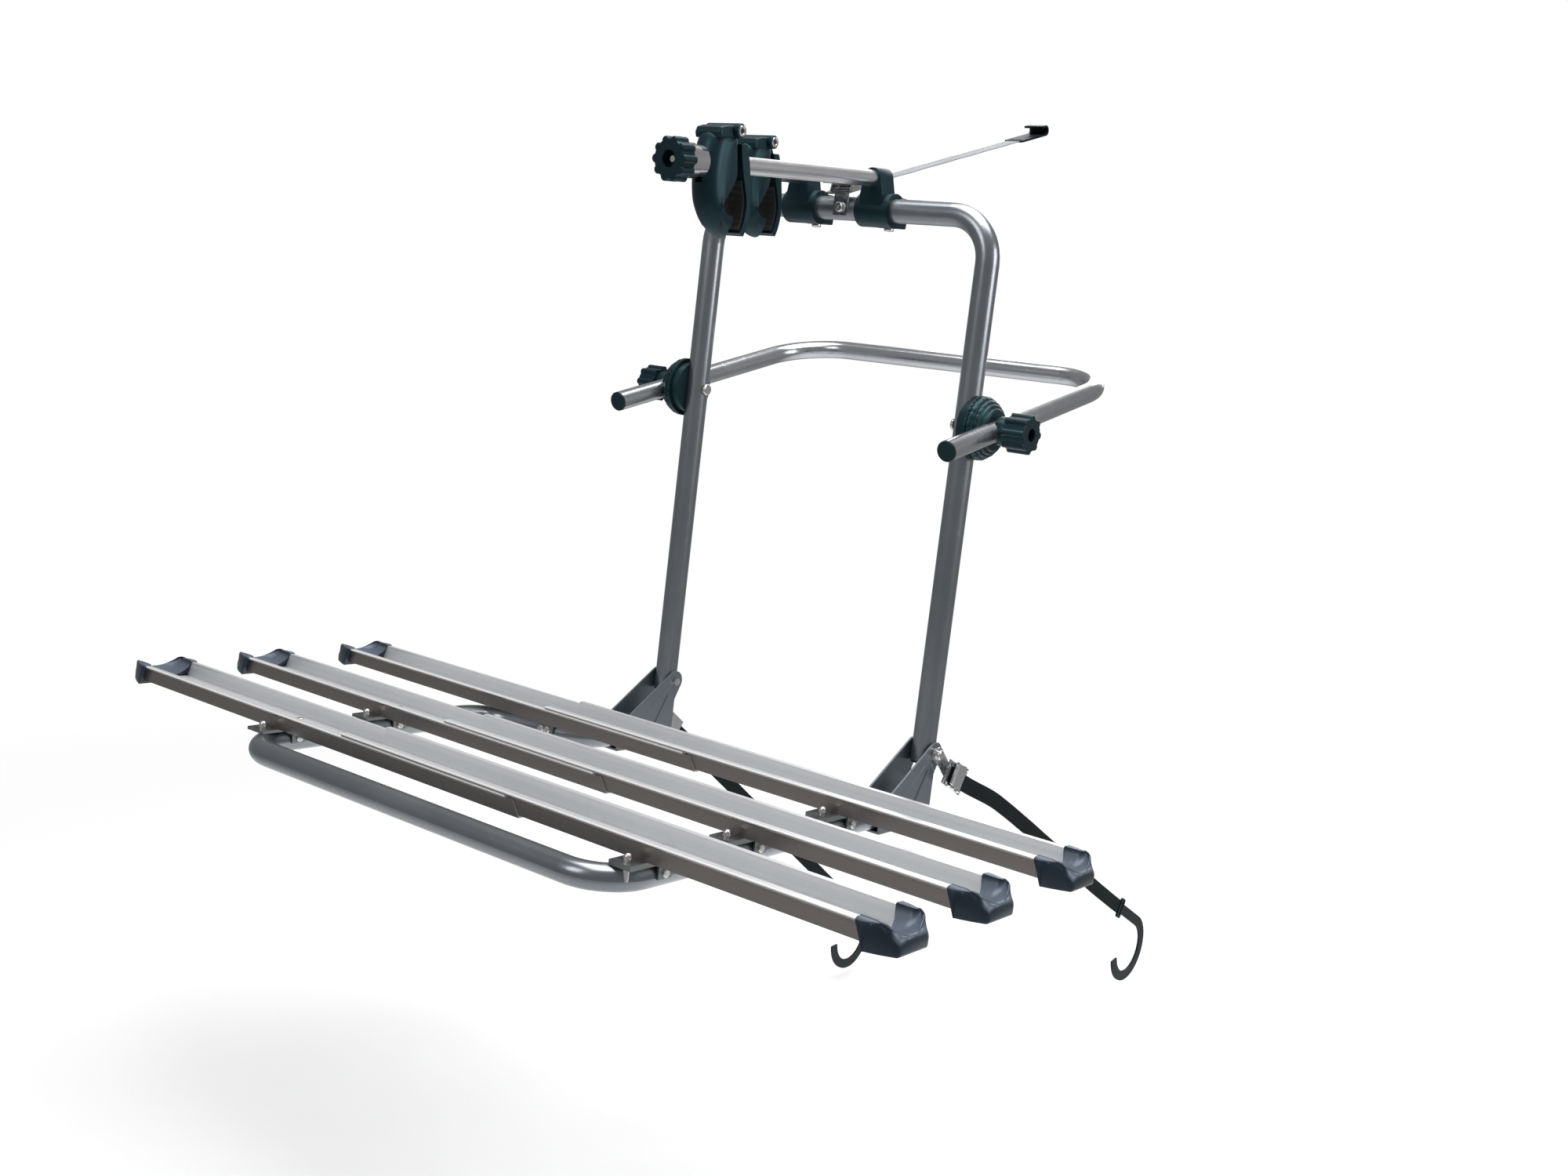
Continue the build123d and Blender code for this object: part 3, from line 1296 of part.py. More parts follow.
def claw_hook(plane, length):
    """A hook cut from plate in the strap's own plane: a slotted eye and a wide round claw."""
    middle = BUCKLE_PLATE + STRAP_THICKNESS / 2 - HOOK_PLATE / 2
    down = -1 if plane.y_dir.Z > 0 else 1
    bend = length + CLAW_SHANK
    centre = plane.from_local_coords((bend, down * CLAW_R, 0))
    with BuildPart() as hook:
        with BuildSketch(plane.offset(middle)):
            with Locations((length + HOOK_EYE / 2, 0)):
                RectangleRounded(HOOK_EYE, HOOK_WIDTH, HOOK_PLATE)
            with Locations((length + HOOK_EYE / 2 + 1, 0)):
                Rectangle(HOOK_SLOT, STRAP_WIDTH + 1, mode=Mode.SUBTRACT)
            with Locations((length + (HOOK_EYE + CLAW_SHANK) / 2 - 1, 0)):
                Rectangle(CLAW_SHANK - HOOK_EYE + 2, CLAW_WIDTH)
        extrude(amount=HOOK_PLATE)
        section = Plane(
            origin=plane.from_local_coords((bend, 0, middle + HOOK_PLATE / 2)),
            x_dir=plane.y_dir,
            z_dir=plane.x_dir,
        )
        with BuildSketch(section):
            Rectangle(CLAW_WIDTH, HOOK_PLATE)
        revolve(axis=Axis(centre, plane.z_dir * down), revolution_arc=CLAW_SWEEP)
    return hook.part


def side_buckle(plane, eye):
    """The buckle of a lower strap, with a link plate out to its eye on the fold bolt."""
    eye_x, eye_y = eye
    start = -BUCKLE_BODY / 2
    with BuildPart() as buckle:
        add(buckle_body(plane))
        with BuildSketch(plane):
            with BuildLine():
                Polyline(
                    (start + 2, -LINK_WIDTH / 2),
                    (eye_x, eye_y - LINK_WIDTH / 2),
                    (eye_x, eye_y + LINK_WIDTH / 2),
                    (start + 2, LINK_WIDTH / 2),
                    close=True,
                )
            make_face()
            with Locations(eye):
                Circle(LINK_WIDTH / 2)
                Circle(BOLT_R, mode=Mode.SUBTRACT)
        extrude(amount=BUCKLE_PLATE)
    return buckle.part


def top_buckle(plane):
    """The buckle on the top bar, with a tab bent down the front of the bar."""
    front = Plane(origin=(0, -upright_r, TOP_BAR_Z), x_dir=(1, 0, 0), z_dir=(0, -1, 0))
    tab_top = plane.origin.Z - TOP_BAR_Z - (upright_r + plane.origin.Y) * tan(
        radians(TOP_STRAP_SLOPE)
    )
    with BuildPart() as buckle:
        add(buckle_body(plane))
        with BuildSketch(front):
            with Locations((0, (tab_top - TAB_DROP) / 2 + BUCKLE_PLATE / 4)):
                Rectangle(STRAP_WIDTH, tab_top + TAB_DROP + BUCKLE_PLATE / 2)
            Circle(SCREW_R, mode=Mode.SUBTRACT)
        extrude(amount=BUCKLE_PLATE)
    return buckle.part


# Fold bolts with their spacers and nuts, and the strap buckles that hang on them
fold_bolts = []
for side in (-1, 1):
    leg = side * LEG_HALF_SPACING
    head_seat = Plane(
        origin=(side * (link_x + BUCKLE_PLATE), 0, FOLD_Z), x_dir=(0, 1, 0), z_dir=(-side, 0, 0)
    )
    reach = link_x + BUCKLE_PLATE - LEG_HALF_SPACING + cheek_face + FREE + NUT_HEIGHT
    fold_bolts.append(bolt(head_seat, reach, BOLT_HEAD_R, BOLT_HEAD_HEIGHT))
    spacer_seat = Plane(origin=(side * link_x, 0, FOLD_Z), x_dir=(0, 1, 0), z_dir=(-side, 0, 0))
    with BuildPart() as spacer:
        with BuildSketch(spacer_seat):
            Circle(SPACER_R)
            Circle(BOLT_R, mode=Mode.SUBTRACT)
        extrude(amount=SPACER_LENGTH)
    fold_bolts.append(spacer.part)
    nut_seat = Plane(
        origin=(side * (LEG_HALF_SPACING - cheek_face - FREE), 0, FOLD_Z),
        x_dir=(0, 1, 0),
        z_dir=(-side, 0, 0),
    )
    fold_bolts.append(nut(nut_seat))
keep(Compound(children=fold_bolts), "fold_bolts")

top_place = strap_plane(
    0, TOP_BUCKLE_Y, TOP_BAR_Z + upright_r + TOP_BUCKLE_RISE, TOP_STRAP_SLOPE,
    (0, -sin(radians(TOP_STRAP_SLOPE)), cos(radians(TOP_STRAP_SLOPE))),
)
right_drop = RIGHT_STRAP_DROP + BUCKLE_PIN_Y * tan(radians(-RIGHT_STRAP_SLOPE))
left_drop = LEFT_STRAP_DROP + BUCKLE_PIN_Y * tan(radians(-LEFT_STRAP_SLOPE))
right_place = strap_plane(
    link_x, BUCKLE_PIN_Y, FOLD_Z - right_drop, RIGHT_STRAP_SLOPE, (1, 0, 0)
)
left_place = strap_plane(
    -link_x, BUCKLE_PIN_Y, FOLD_Z - left_drop, LEFT_STRAP_SLOPE, (-1, 0, 0)
)


def fold_eye(plane):
    """The fold bolt's place in the local coordinates of a buckle's plane."""
    local = plane.to_local_coords(Vector(plane.origin.X, 0, FOLD_Z))
    return (local.X, local.Y)


keep(top_buckle(top_place), "buckle_top")
keep(side_buckle(right_place, fold_eye(right_place)), "buckle_right")
keep(side_buckle(left_place, fold_eye(left_place)), "buckle_left")
keep(flat_hook(top_place, TOP_STRAP_LENGTH), "strap_hook_top")
keep(claw_hook(right_place, SIDE_STRAP_LENGTH), "strap_hook_right")
keep(claw_hook(left_place, SIDE_STRAP_LENGTH), "strap_hook_left")
for name, plane, length in (
    ("top", top_place, TOP_STRAP_LENGTH),
    ("right", right_place, SIDE_STRAP_LENGTH),
    ("left", left_place, SIDE_STRAP_LENGTH),
):
    keep(buckle_lever(plane), "buckle_lever_" + name)
    keep(webbing(plane, length), "strap_" + name)

# Lever pins of the buckles and the screw that holds the top buckle on its bar
small_pins = [buckle_pin(plane) for plane in (top_place, right_place, left_place)]
screw_seat = Plane(
    origin=(0, -upright_r - BUCKLE_PLATE, TOP_BAR_Z), x_dir=(1, 0, 0), z_dir=(0, 1, 0)
)
small_pins.append(
    bolt(screw_seat, BUCKLE_PLATE + upright_r, BOLT_HEAD_R, BOLT_HEAD_HEIGHT, SCREW_R,
         PIN_SOCKET_R)
)
keep(Compound(children=small_pins), "buckle_pins")

os.makedirs("parts", exist_ok=True)
for part in parts:
    export_step(part, "parts/" + part.label + ".step")
print("pieces:", len(parts))
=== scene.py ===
# %% [markdown]
# # A bike rack, dressed for its portrait
# The construction comes packed as a fixed frame: every tube, rail, bolt and jaw is already at its
# real size and place, in metres. This script only adds what the eye wants on top of it: finishes,
# woven straps, moulded shells, light and a camera. Nothing of the frame is moved, and where its
# shape is too plain to look at closely, a fuller piece takes its place.

# %% Load the frame
import json
from math import cos, pi, radians, sin

import bmesh
import bpy
from mathutils import Matrix, Vector


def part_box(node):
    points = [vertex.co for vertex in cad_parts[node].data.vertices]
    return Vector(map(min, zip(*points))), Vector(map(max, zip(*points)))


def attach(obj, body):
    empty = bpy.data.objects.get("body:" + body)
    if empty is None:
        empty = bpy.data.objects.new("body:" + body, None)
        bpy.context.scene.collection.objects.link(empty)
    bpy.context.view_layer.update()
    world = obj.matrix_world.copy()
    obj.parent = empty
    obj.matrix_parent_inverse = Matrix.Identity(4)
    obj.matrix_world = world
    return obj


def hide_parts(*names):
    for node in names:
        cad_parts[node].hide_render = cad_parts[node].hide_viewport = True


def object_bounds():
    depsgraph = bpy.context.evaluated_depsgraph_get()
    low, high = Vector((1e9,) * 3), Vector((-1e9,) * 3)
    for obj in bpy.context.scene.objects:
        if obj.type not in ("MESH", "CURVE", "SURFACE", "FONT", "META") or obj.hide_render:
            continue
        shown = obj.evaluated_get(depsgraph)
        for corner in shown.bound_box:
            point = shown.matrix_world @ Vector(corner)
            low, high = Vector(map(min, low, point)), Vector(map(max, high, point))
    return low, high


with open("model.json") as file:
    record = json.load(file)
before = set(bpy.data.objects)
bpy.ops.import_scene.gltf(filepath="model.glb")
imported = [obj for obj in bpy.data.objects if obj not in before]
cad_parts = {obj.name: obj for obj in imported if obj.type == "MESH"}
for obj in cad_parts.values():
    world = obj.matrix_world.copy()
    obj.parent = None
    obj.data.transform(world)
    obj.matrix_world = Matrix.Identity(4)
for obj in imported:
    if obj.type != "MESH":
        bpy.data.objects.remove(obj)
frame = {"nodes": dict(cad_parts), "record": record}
cad_low, cad_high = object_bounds()

# %% [markdown]
# ## The camera
# A picture can only be compared with another one if both are taken from the same place. The
# place here was worked out from the rack's own straight lines: legs, rails and the top bar. A
# camera is a matrix of three unit vectors (its right, its up and its back) and a place, and
# that is easier to state exactly than three angles. The frame is 2000 pixels wide, so the lens
# follows from the focal length in pixels.

# %% Camera
FRAME_WIDTH_PX = 2000
FOCAL_LENGTH_PX = 2170.13
SENSOR_WIDTH_MM = 36.0
CAMERA_RIGHT = Vector((0.78612398, 0.60697654, 0.11657003))
CAMERA_UP = Vector((-0.17596531, 0.03899576, 0.98362368))
CAMERA_BACK = Vector((0.59249076, -0.79376244, 0.13746232))
CAMERA_PLACE = Vector((1.5385, -2.1076, 0.0769))

lens = bpy.data.cameras.new("portrait_camera")
lens.sensor_width = SENSOR_WIDTH_MM
lens.lens = FOCAL_LENGTH_PX / FRAME_WIDTH_PX * SENSOR_WIDTH_MM
camera = bpy.data.objects.new("portrait_camera", lens)
turn = Matrix((CAMERA_RIGHT, CAMERA_UP, CAMERA_BACK)).transposed()
camera.matrix_world = Matrix.Translation(CAMERA_PLACE) @ turn.to_4x4()
bpy.context.scene.collection.objects.link(camera)
bpy.context.scene.camera = camera
print("lens: %.1f mm" % lens.lens)

# %% [markdown]
# ## Arithmetic for shaders
# A finish is a sum of small differences: a bit lighter here, a bit rougher there. In Blender
# each sum is a Math node, and a graph of thirty of them is hard to read. So one small class
# wraps an output socket and lets Python's own operators add the nodes: `0.3 + 0.1 * dust`
# reads as what it does. Any other node comes from `add`, which takes the node's type, its
# settings and what goes into its sockets.

# %% A socket that does sums
class Signal:
    """An output socket of a shader tree, with operators that add Math nodes."""

    def __init__(self, tree, socket=None):
        self.tree = tree
        self.socket = socket

    def add(self, kind, settings=None, sockets=None, output=0):
        """Adds a node, sets its settings first, fills its sockets and returns one output."""
        node = self.tree.nodes.new("ShaderNode" + kind)
        for key, value in (settings or {}).items():
            if key == "stops":
                ramp = node.color_ramp
                while len(ramp.elements) < len(value):
                    ramp.elements.new(1.0)
                for element, (place, colour) in zip(ramp.elements, value):
                    element.position = place
                    element.color = (*colour, 1.0)
            else:
                setattr(node, key, value)
        for key, value in (sockets or {}).items():
            if isinstance(value, Signal):
                self.tree.links.new(value.socket, node.inputs[key])
            else:
                node.inputs[key].default_value = value
        return Signal(self.tree, node.outputs[output])

    def sums(self, operation, first, second):
        return self.add("Math", {"operation": operation}, {0: first, 1: second})

    def __add__(self, other):
        return self.sums("ADD", self, other)

    def __sub__(self, other):
        return self.sums("SUBTRACT", self, other)

    def __rsub__(self, other):
        return self.sums("SUBTRACT", other, self)

    def __mul__(self, other):
        return self.sums("MULTIPLY", self, other)

    def __gt__(self, other):
        return self.sums("GREATER_THAN", self, other)

    def __lt__(self, other):
        return self.sums("LESS_THAN", self, other)

    __radd__ = __add__
    __rmul__ = __mul__


# %% [markdown]
# ## Starting a finish
# Every finish here is one Principled shader. What is the same all over the surface is written
# straight on the shader's socket, and only what varies is linked. The coordinates are the
# object's own, so a grain or a scratch stays where it is when the rack folds.

# %% Finish helpers
def start_finish(name):
    """A new material, its shader and a Signal to start its graph from."""
    material = bpy.data.materials.new(name)
    material.use_nodes = True
    tree = material.node_tree
    tree.nodes.clear()
    shader = tree.nodes.new("ShaderNodeBsdfPrincipled")
    output = tree.nodes.new("ShaderNodeOutputMaterial")
    tree.links.new(shader.outputs["BSDF"], output.inputs["Surface"])
    return material, shader, Signal(tree)


def feed(shader, sockets):
    """Fills the shader's sockets with values or signals."""
    for name, value in sockets.items():
        if isinstance(value, Signal):
            value.tree.links.new(value.socket, shader.inputs[name])
        else:
            shader.inputs[name].default_value = value


def place_on(graph, stretch=(1.0, 1.0, 1.0)):
    """The object's own coordinates, stretched along its axes."""
    here = graph.add("TexCoord", output="Object")
    return graph.add("VectorMath", {"operation": "MULTIPLY"}, {0: here, 1: stretch})


def noise(graph, place, scale, detail=2.0, roughness=0.5):
    """A cloudy value from 0 to 1 with its middle at a half."""
    sockets = {"Vector": place, "Scale": scale, "Detail": detail, "Roughness": roughness}
    return graph.add("TexNoise", None, sockets)


def mix(graph, factor, first, second):
    """Two colours blended; a plain colour is three numbers."""
    def ink(colour):
        return colour if isinstance(colour, Signal) else (*colour, 1.0)
    sockets = {0: factor, 6: ink(first), 7: ink(second)}
    return graph.add("Mix", {"data_type": "RGBA"}, sockets, output=2)


def bump(graph, height, strength, distance, normal=None):
    """A Bump node from a height, with its depth in metres."""
    sockets = {"Height": height, "Strength": strength, "Distance": distance}
    if normal is not None:
        sockets["Normal"] = normal
    return graph.add("Bump", None, sockets)


def contrast(graph, value, low, high):
    """Stretches a value so that low becomes 0 and high becomes 1, and cuts off beyond."""
    sockets = {0: value, 1: low, 2: high}
    return graph.add("MapRange", None, sockets)


# %% [markdown]
# ## Metallic paint
# The uprights and the platform are steel tube under a grey metallic paint. Such a paint has
# three things to copy: tiny flakes that twinkle, a slow drift in tone where the spray was
# thicker, and a faint orange-peel skin in the clear coat. Flakes and drift go into the colour,
# the skin goes into a very shallow bump, and the coat layer gives the second, sharper gloss.

# %% Metallic paint
def metallic_paint(name, dark, light, metal, gloss, peel=0.25):
    material, shader, graph = start_finish(name)
    here = place_on(graph)
    drift = noise(graph, here, 5.0, 4.0, 0.6)
    flakes = noise(graph, here, 1500.0, 1.0)
    dust = contrast(graph, noise(graph, here, 60.0, 6.0, 0.7), 0.55, 0.8)
    tone = 0.6 * drift + 0.5 * flakes - 0.05
    colour = mix(graph, tone, dark, light)
    feed(shader, {
        "Base Color": mix(graph, 0.12 * dust, colour, (0.30, 0.29, 0.28)),
        "Metallic": metal,
        "Roughness": gloss + 0.10 * drift + 0.12 * dust,
        "Coat Weight": 0.35 - 0.2 * dust,
        "Coat Roughness": 0.12,
        "Normal": bump(graph, noise(graph, here, 420.0, 2.0), peel, 0.0003),
    })
    return material


frame_paint = metallic_paint("frame_paint", (0.14, 0.163, 0.18), (0.35, 0.365, 0.395), 0.85, 0.24)
bracket_paint = metallic_paint(
    "bracket_paint", (0.12, 0.15, 0.17), (0.27, 0.30, 0.335), 0.75, 0.30)
hoop_paint = metallic_paint(
    "hoop_paint", (0.39, 0.405, 0.43), (0.60, 0.615, 0.645), 0.95, 0.18, 0.08)
print("paints:", frame_paint.name, bracket_paint.name, hoop_paint.name)

# %% [markdown]
# ## Drawn and extruded aluminium
# The rails are extruded and anodised: long faint die lines run along them, and the skin has a
# fine even grain. Stretching the coordinates along X turns a round noise into lines. The outer
# side walls came out of the die smoother, and the warmer, darker grey given to them is painted
# shade for the dark surroundings they reflect; a mask that is measured from the rail's middle
# tells outside from inside. A lighter band under the lips and a near-white line along their
# outer tops are painted highlights.

# %% Rail metal
LIP_HIGHLIGHT_BAND = 0.006
LIP_HEIGHT = 0.0045
LIP_MARGIN = 0.0002
EDGE_HIGHLIGHT_START = 0.0422
EDGE_HIGHLIGHT_BLEND = 0.0008
EDGE_HIGHLIGHT_HEIGHT = 0.0022
OUTWARD = 0.02


def rail_metal(name, middle, lip_low):
    """Satin inside, painted highlights on the lips, painted shade where the walls face out."""
    material, shader, graph = start_finish(name)
    here = place_on(graph)
    lines = noise(graph, place_on(graph, (1.2, 260.0, 260.0)), 1.0, 3.0, 0.6)
    grain = noise(graph, here, 900.0, 2.0, 0.6)
    cloud = noise(graph, place_on(graph, (3.0, 14.0, 14.0)), 1.0, 4.0, 0.6)
    across = graph.add("SeparateXYZ", None, {0: here}, output="Y")
    height = graph.add("SeparateXYZ", None, {0: here}, output="Z")
    facing = graph.add("TexCoord", output="Normal")
    facing_y = graph.add("SeparateXYZ", None, {0: facing}, output="Y")
    lip = height > lip_low + LIP_MARGIN
    sideways = graph.add("Math", {"operation": "ABSOLUTE"}, {0: across - middle})
    # The outer top of each lip is painted near-white: a painted highlight.
    painted_edge_highlight = contrast(graph, sideways, EDGE_HIGHLIGHT_START, EDGE_HIGHLIGHT_START + EDGE_HIGHLIGHT_BLEND)
    painted_edge_highlight = painted_edge_highlight * (height > lip_low + EDGE_HIGHLIGHT_HEIGHT)
    # Walls facing out are coloured darker and warmer: painted shade for dark reflections.
    painted_shade_outer_wall = ((across - middle) * facing_y > OUTWARD) * (1.0 - painted_edge_highlight)
    # Just under the lips a band is painted lighter: a painted highlight.
    band = contrast(graph, height, lip_low - LIP_HIGHLIGHT_BAND, lip_low) * (1.0 - painted_shade_outer_wall)
    tone = 0.35 * lines + 0.45 * grain + 0.3 * cloud - 0.05
    inner = mix(graph, tone, (0.44, 0.45, 0.46), (0.78, 0.79, 0.805))
    # The lighter band under the lips: painted highlight.
    inner = mix(graph, 0.5 * band, inner, (0.80, 0.80, 0.81))
    # The near-white lip tops: painted highlight.
    inner = mix(graph, painted_edge_highlight, inner, (0.97, 0.97, 0.97))
    # The darker, warmer colour of the walls facing out: painted shade.
    outer = mix(graph, tone, (0.20, 0.18, 0.172), (0.34, 0.31, 0.30))
    feed(shader, {
        "Base Color": mix(graph, painted_shade_outer_wall, inner, outer),
        "Metallic": 0.55 + 0.3 * painted_shade_outer_wall - 0.2 * painted_edge_highlight,
        "Roughness": 0.46 + 0.10 * grain - 0.20 * painted_shade_outer_wall - 0.18 * lip,
        "Normal": bump(graph, 0.6 * lines + 0.5 * grain, 0.22, 0.0002),
    })
    return material


# %% [markdown]
# ## Polished tube
# The two arms are bright drawn tube. The polish is nearly a mirror, but buffing left hair-fine
# rings and hands left a few smears, and both break the reflection up.

# %% Polished tube
def polished_metal(name, tint, gloss, ring_scale=(220.0, 4.0, 220.0)):
    material, shader, graph = start_finish(name)
    hairs = noise(graph, place_on(graph, ring_scale), 6.0, 3.0, 0.6)
    smears = noise(graph, place_on(graph), 18.0, 4.0, 0.6)
    darker = tuple(0.8 * part for part in tint)
    feed(shader, {
        "Base Color": mix(graph, 0.3 * hairs + 0.5 * smears + 0.1, darker, tint),
        "Metallic": 1.0,
        "Roughness": gloss + 0.08 * smears + 0.03 * hairs,
        "Normal": bump(graph, hairs, 0.02, 0.0001),
    })
    return material


arm_metal = polished_metal("arm_metal", (0.90, 0.90, 0.92), 0.20)
collar_metal = polished_metal("collar_metal", (0.82, 0.82, 0.84), 0.10, (40.0, 40.0, 260.0))

# %% [markdown]
# ## Zinc plating
# Bolts, buckles and saddles are steel with a thin layer of zinc. Fresh zinc is bright, with a
# cool cast that wanders towards straw yellow, and it dulls in small cloudy patches.

# %% Zinc plating
def zinc(name, cool, warm, gloss, wear):
    material, shader, graph = start_finish(name)
    here = place_on(graph)
    cast = noise(graph, here, 45.0, 3.0)
    dull = contrast(graph, noise(graph, here, 140.0, 5.0, 0.65), 0.45, 0.75)
    feed(shader, {
        "Base Color": mix(graph, wear * dull, mix(graph, cast, cool, warm), (0.30, 0.30, 0.30)),
        "Metallic": 0.95,
        "Roughness": gloss + 0.25 * dull,
        "Normal": bump(graph, noise(graph, here, 380.0, 3.0), 0.10, 0.0002),
    })
    return material


bolt_metal = zinc("bolt_metal", (0.72, 0.74, 0.78), (0.74, 0.71, 0.64), 0.16, 0.4)
buckle_metal = zinc("buckle_metal", (0.70, 0.72, 0.76), (0.72, 0.71, 0.68), 0.13, 0.35)
saddle_metal = zinc("saddle_metal", (0.22, 0.25, 0.26), (0.26, 0.27, 0.26), 0.30, 0.5)

# %% [markdown]
# ## Moulded plastic
# The jaws, discs, knobs and rail caps are injection moulded. The tool's surface was spark
# eroded, which leaves a fine even grain that scatters the gloss, and edges rub to a slightly
# lighter tone. The grain is a small bump, and the rubbing follows a broken noise. On the rail
# caps, faces that point up are also lighter: painted light from the sky.

# %% Moulded plastic
def moulded(name, dark, light, gloss, grain_depth=0.10, painted_sky_light_colour=None, specular=0.38,
            cast=(0.45, 0.88, 1.0)):
    """Grained plastic; a further colour, if given, lightens upward faces as painted sky light."""
    material, shader, graph = start_finish(name)
    here = place_on(graph)
    flow = noise(graph, here, 14.0, 4.0, 0.6)
    grain = noise(graph, here, 1100.0, 2.0, 0.6)
    scuffs = contrast(graph, noise(graph, here, 75.0, 6.0, 0.7), 0.58, 0.78)
    colour = mix(graph, 0.55 * flow + 0.35 * scuffs, dark, light)
    # Faces that point up are mixed towards the extra colour: painted light from the sky.
    if painted_sky_light_colour:
        facing = graph.add("TexCoord", output="Normal")
        up = graph.add("SeparateXYZ", None, {0: facing}, output="Z")
        painted_sky_light_mask = contrast(graph, up + 0.12 * flow, 0.22, 0.62)
        colour = mix(graph, painted_sky_light_mask, colour, painted_sky_light_colour)
    feed(shader, {
        "Base Color": colour,
        "Roughness": gloss + 0.08 * flow + 0.10 * scuffs,
        "Specular IOR Level": specular,
        "Specular Tint": (*cast, 1.0),
        "Normal": bump(graph, grain, grain_depth, 0.00025),
    })
    return material


jaw_plastic = moulded("jaw_plastic", (0.003, 0.011, 0.016), (0.010, 0.024, 0.032), 0.34)
disc_plastic = moulded("disc_plastic", (0.003, 0.012, 0.015), (0.011, 0.026, 0.031), 0.34)
knob_plastic = moulded("knob_plastic", (0.003, 0.010, 0.015), (0.010, 0.022, 0.031), 0.28, 0.15)
plug_plastic = moulded("plug_plastic", (0.003, 0.009, 0.012), (0.010, 0.020, 0.026), 0.42)
# The caps' third colour lightens their upward faces: painted sky light.
cap_plastic = moulded("cap_plastic", (0.006, 0.014, 0.024), (0.022, 0.034, 0.052), 0.30, 0.2,
                      (0.085, 0.105, 0.135), 0.5, (0.78, 0.88, 1.0))
hook_paint = moulded("hook_paint", (0.002, 0.004, 0.005), (0.006, 0.009, 0.011), 0.42, 0.1,
                     None, 0.2, (0.8, 0.95, 1.0))

# %% [markdown]
# ## Rubber
# The jaws grip through rubber pads. Rubber is darker and far duller than plastic, and its
# ribs catch a little dust.

# %% Rubber
def ribbed_rubber(name):
    material, shader, graph = start_finish(name)
    here = place_on(graph)
    ribs = graph.add("TexWave", {"bands_direction": "Z"}, {
        "Vector": here, "Scale": 38.0, "Distortion": 0.2})
    dust = contrast(graph, noise(graph, here, 120.0, 5.0, 0.7), 0.5, 0.8)
    colour = mix(graph, 0.5 * dust, (0.012, 0.012, 0.013), (0.05, 0.048, 0.045))
    feed(shader, {
        "Base Color": colour,
        "Roughness": 0.72 + 0.15 * dust,
        "Normal": bump(graph, ribs, 0.5, 0.0008),
    })
    return material


pad_rubber = ribbed_rubber("pad_rubber")

# %% [markdown]
# ## Giving the nodes their finishes
# A frame node keeps its shape and only changes its coat, so a table of slot to finish is all
# that is needed. Each rail section gets a finish of its own, because its mask is measured from
# that rail's middle and lips. No real edge is perfectly sharp either: a few pressed and moulded
# nodes get theirs eased by about a millimetre, which catches a thin line of light.

# %% Dress the frame
SMOOTH_ANGLE = radians(32.0)
WELD_REACH = 0.00001
EASE_SEGMENTS = 3
finishes = {
    "frame_paint": frame_paint, "bracket_paint": bracket_paint, "hoop_paint": hoop_paint,
    "arm_metal": arm_metal, "bolt_metal": bolt_metal, "buckle_metal": buckle_metal,
    "saddle_metal": saddle_metal, "cap_plastic": cap_plastic, "jaw_plastic": jaw_plastic,
    "disc_plastic": disc_plastic, "knob_plastic": knob_plastic, "plug_plastic": plug_plastic,
    "pad_rubber": pad_rubber, "hook_paint": hook_paint,
}
slot_of = {row["node"]: row["material_slot"] for row in frame["record"]["subparts"]}


def dress(node, material):
    """Puts a finish on a frame node, in place of the one that came with it."""
    mesh = frame["nodes"][node].data
    mesh.materials.clear()
    mesh.materials.append(material)


for node, slot in slot_of.items():
    if slot in finishes:
        dress(node, finishes[slot])
for name in ("jaw_collar_a", "jaw_collar_b"):
    dress(name, collar_metal)
for number in (1, 2, 3):
    for side in ("left", "right"):
        node = "rail_%d_%s" % (number, side)
        low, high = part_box(node)
        lip_low = high.z - LIP_HEIGHT
        dress(node, rail_metal(node + "_metal", (low.y + high.y) / 2, lip_low))
EASED = {
    "arm_clamp_a": 0.0014, "arm_clamp_b": 0.0014, "inner_jaw_a": 0.0010,
    "inner_jaw_b": 0.0010, "foot_bracket_left": 0.0012, "foot_bracket_right": 0.0012,
    "hoop_washers": 0.0012, "leg_disc_left": 0.0016, "leg_disc_right": 0.0016,
}
for node, width in EASED.items():
    piece = frame["nodes"][node]
    weld = piece.modifiers.new("weld", "WELD")
    weld.merge_threshold = WELD_REACH
    ease = piece.modifiers.new("ease", "BEVEL")
    ease.width = width
    ease.segments = EASE_SEGMENTS
    ease.limit_method = "ANGLE"
    ease.angle_limit = SMOOTH_ANGLE
    ease.harden_normals = False
print("dressed:", len(slot_of), "nodes, edges eased on", len(EASED))

# %% [markdown]
# ## Straps
# Each strap is pulled tight between a cam buckle and a hook, so it runs straight, and one slope
# and one starting point place it. Building it in a frame of its own, with X along the strap,
# gives the weave its direction for free.

# %% Strap frames
STRAP_WIDTH = 0.025
STRAP_THICKNESS = 0.0018
STRAP_TUCK = 0.018
BUCKLE_PLATE = 0.002
STRAP_MIDDLE = BUCKLE_PLATE + STRAP_THICKNESS / 2


def strap_frame(origin, slope, normal):
    """The matrix of a strap: its X along the strap, its Z out of its flat side."""
    along = Vector((0.0, cos(radians(slope)), sin(radians(slope))))
    out = Vector(normal).normalized()
    across = out.cross(along)
    facing = Matrix((along, across, out)).transposed().to_4x4()
    return Matrix.Translation(Vector(origin)) @ facing


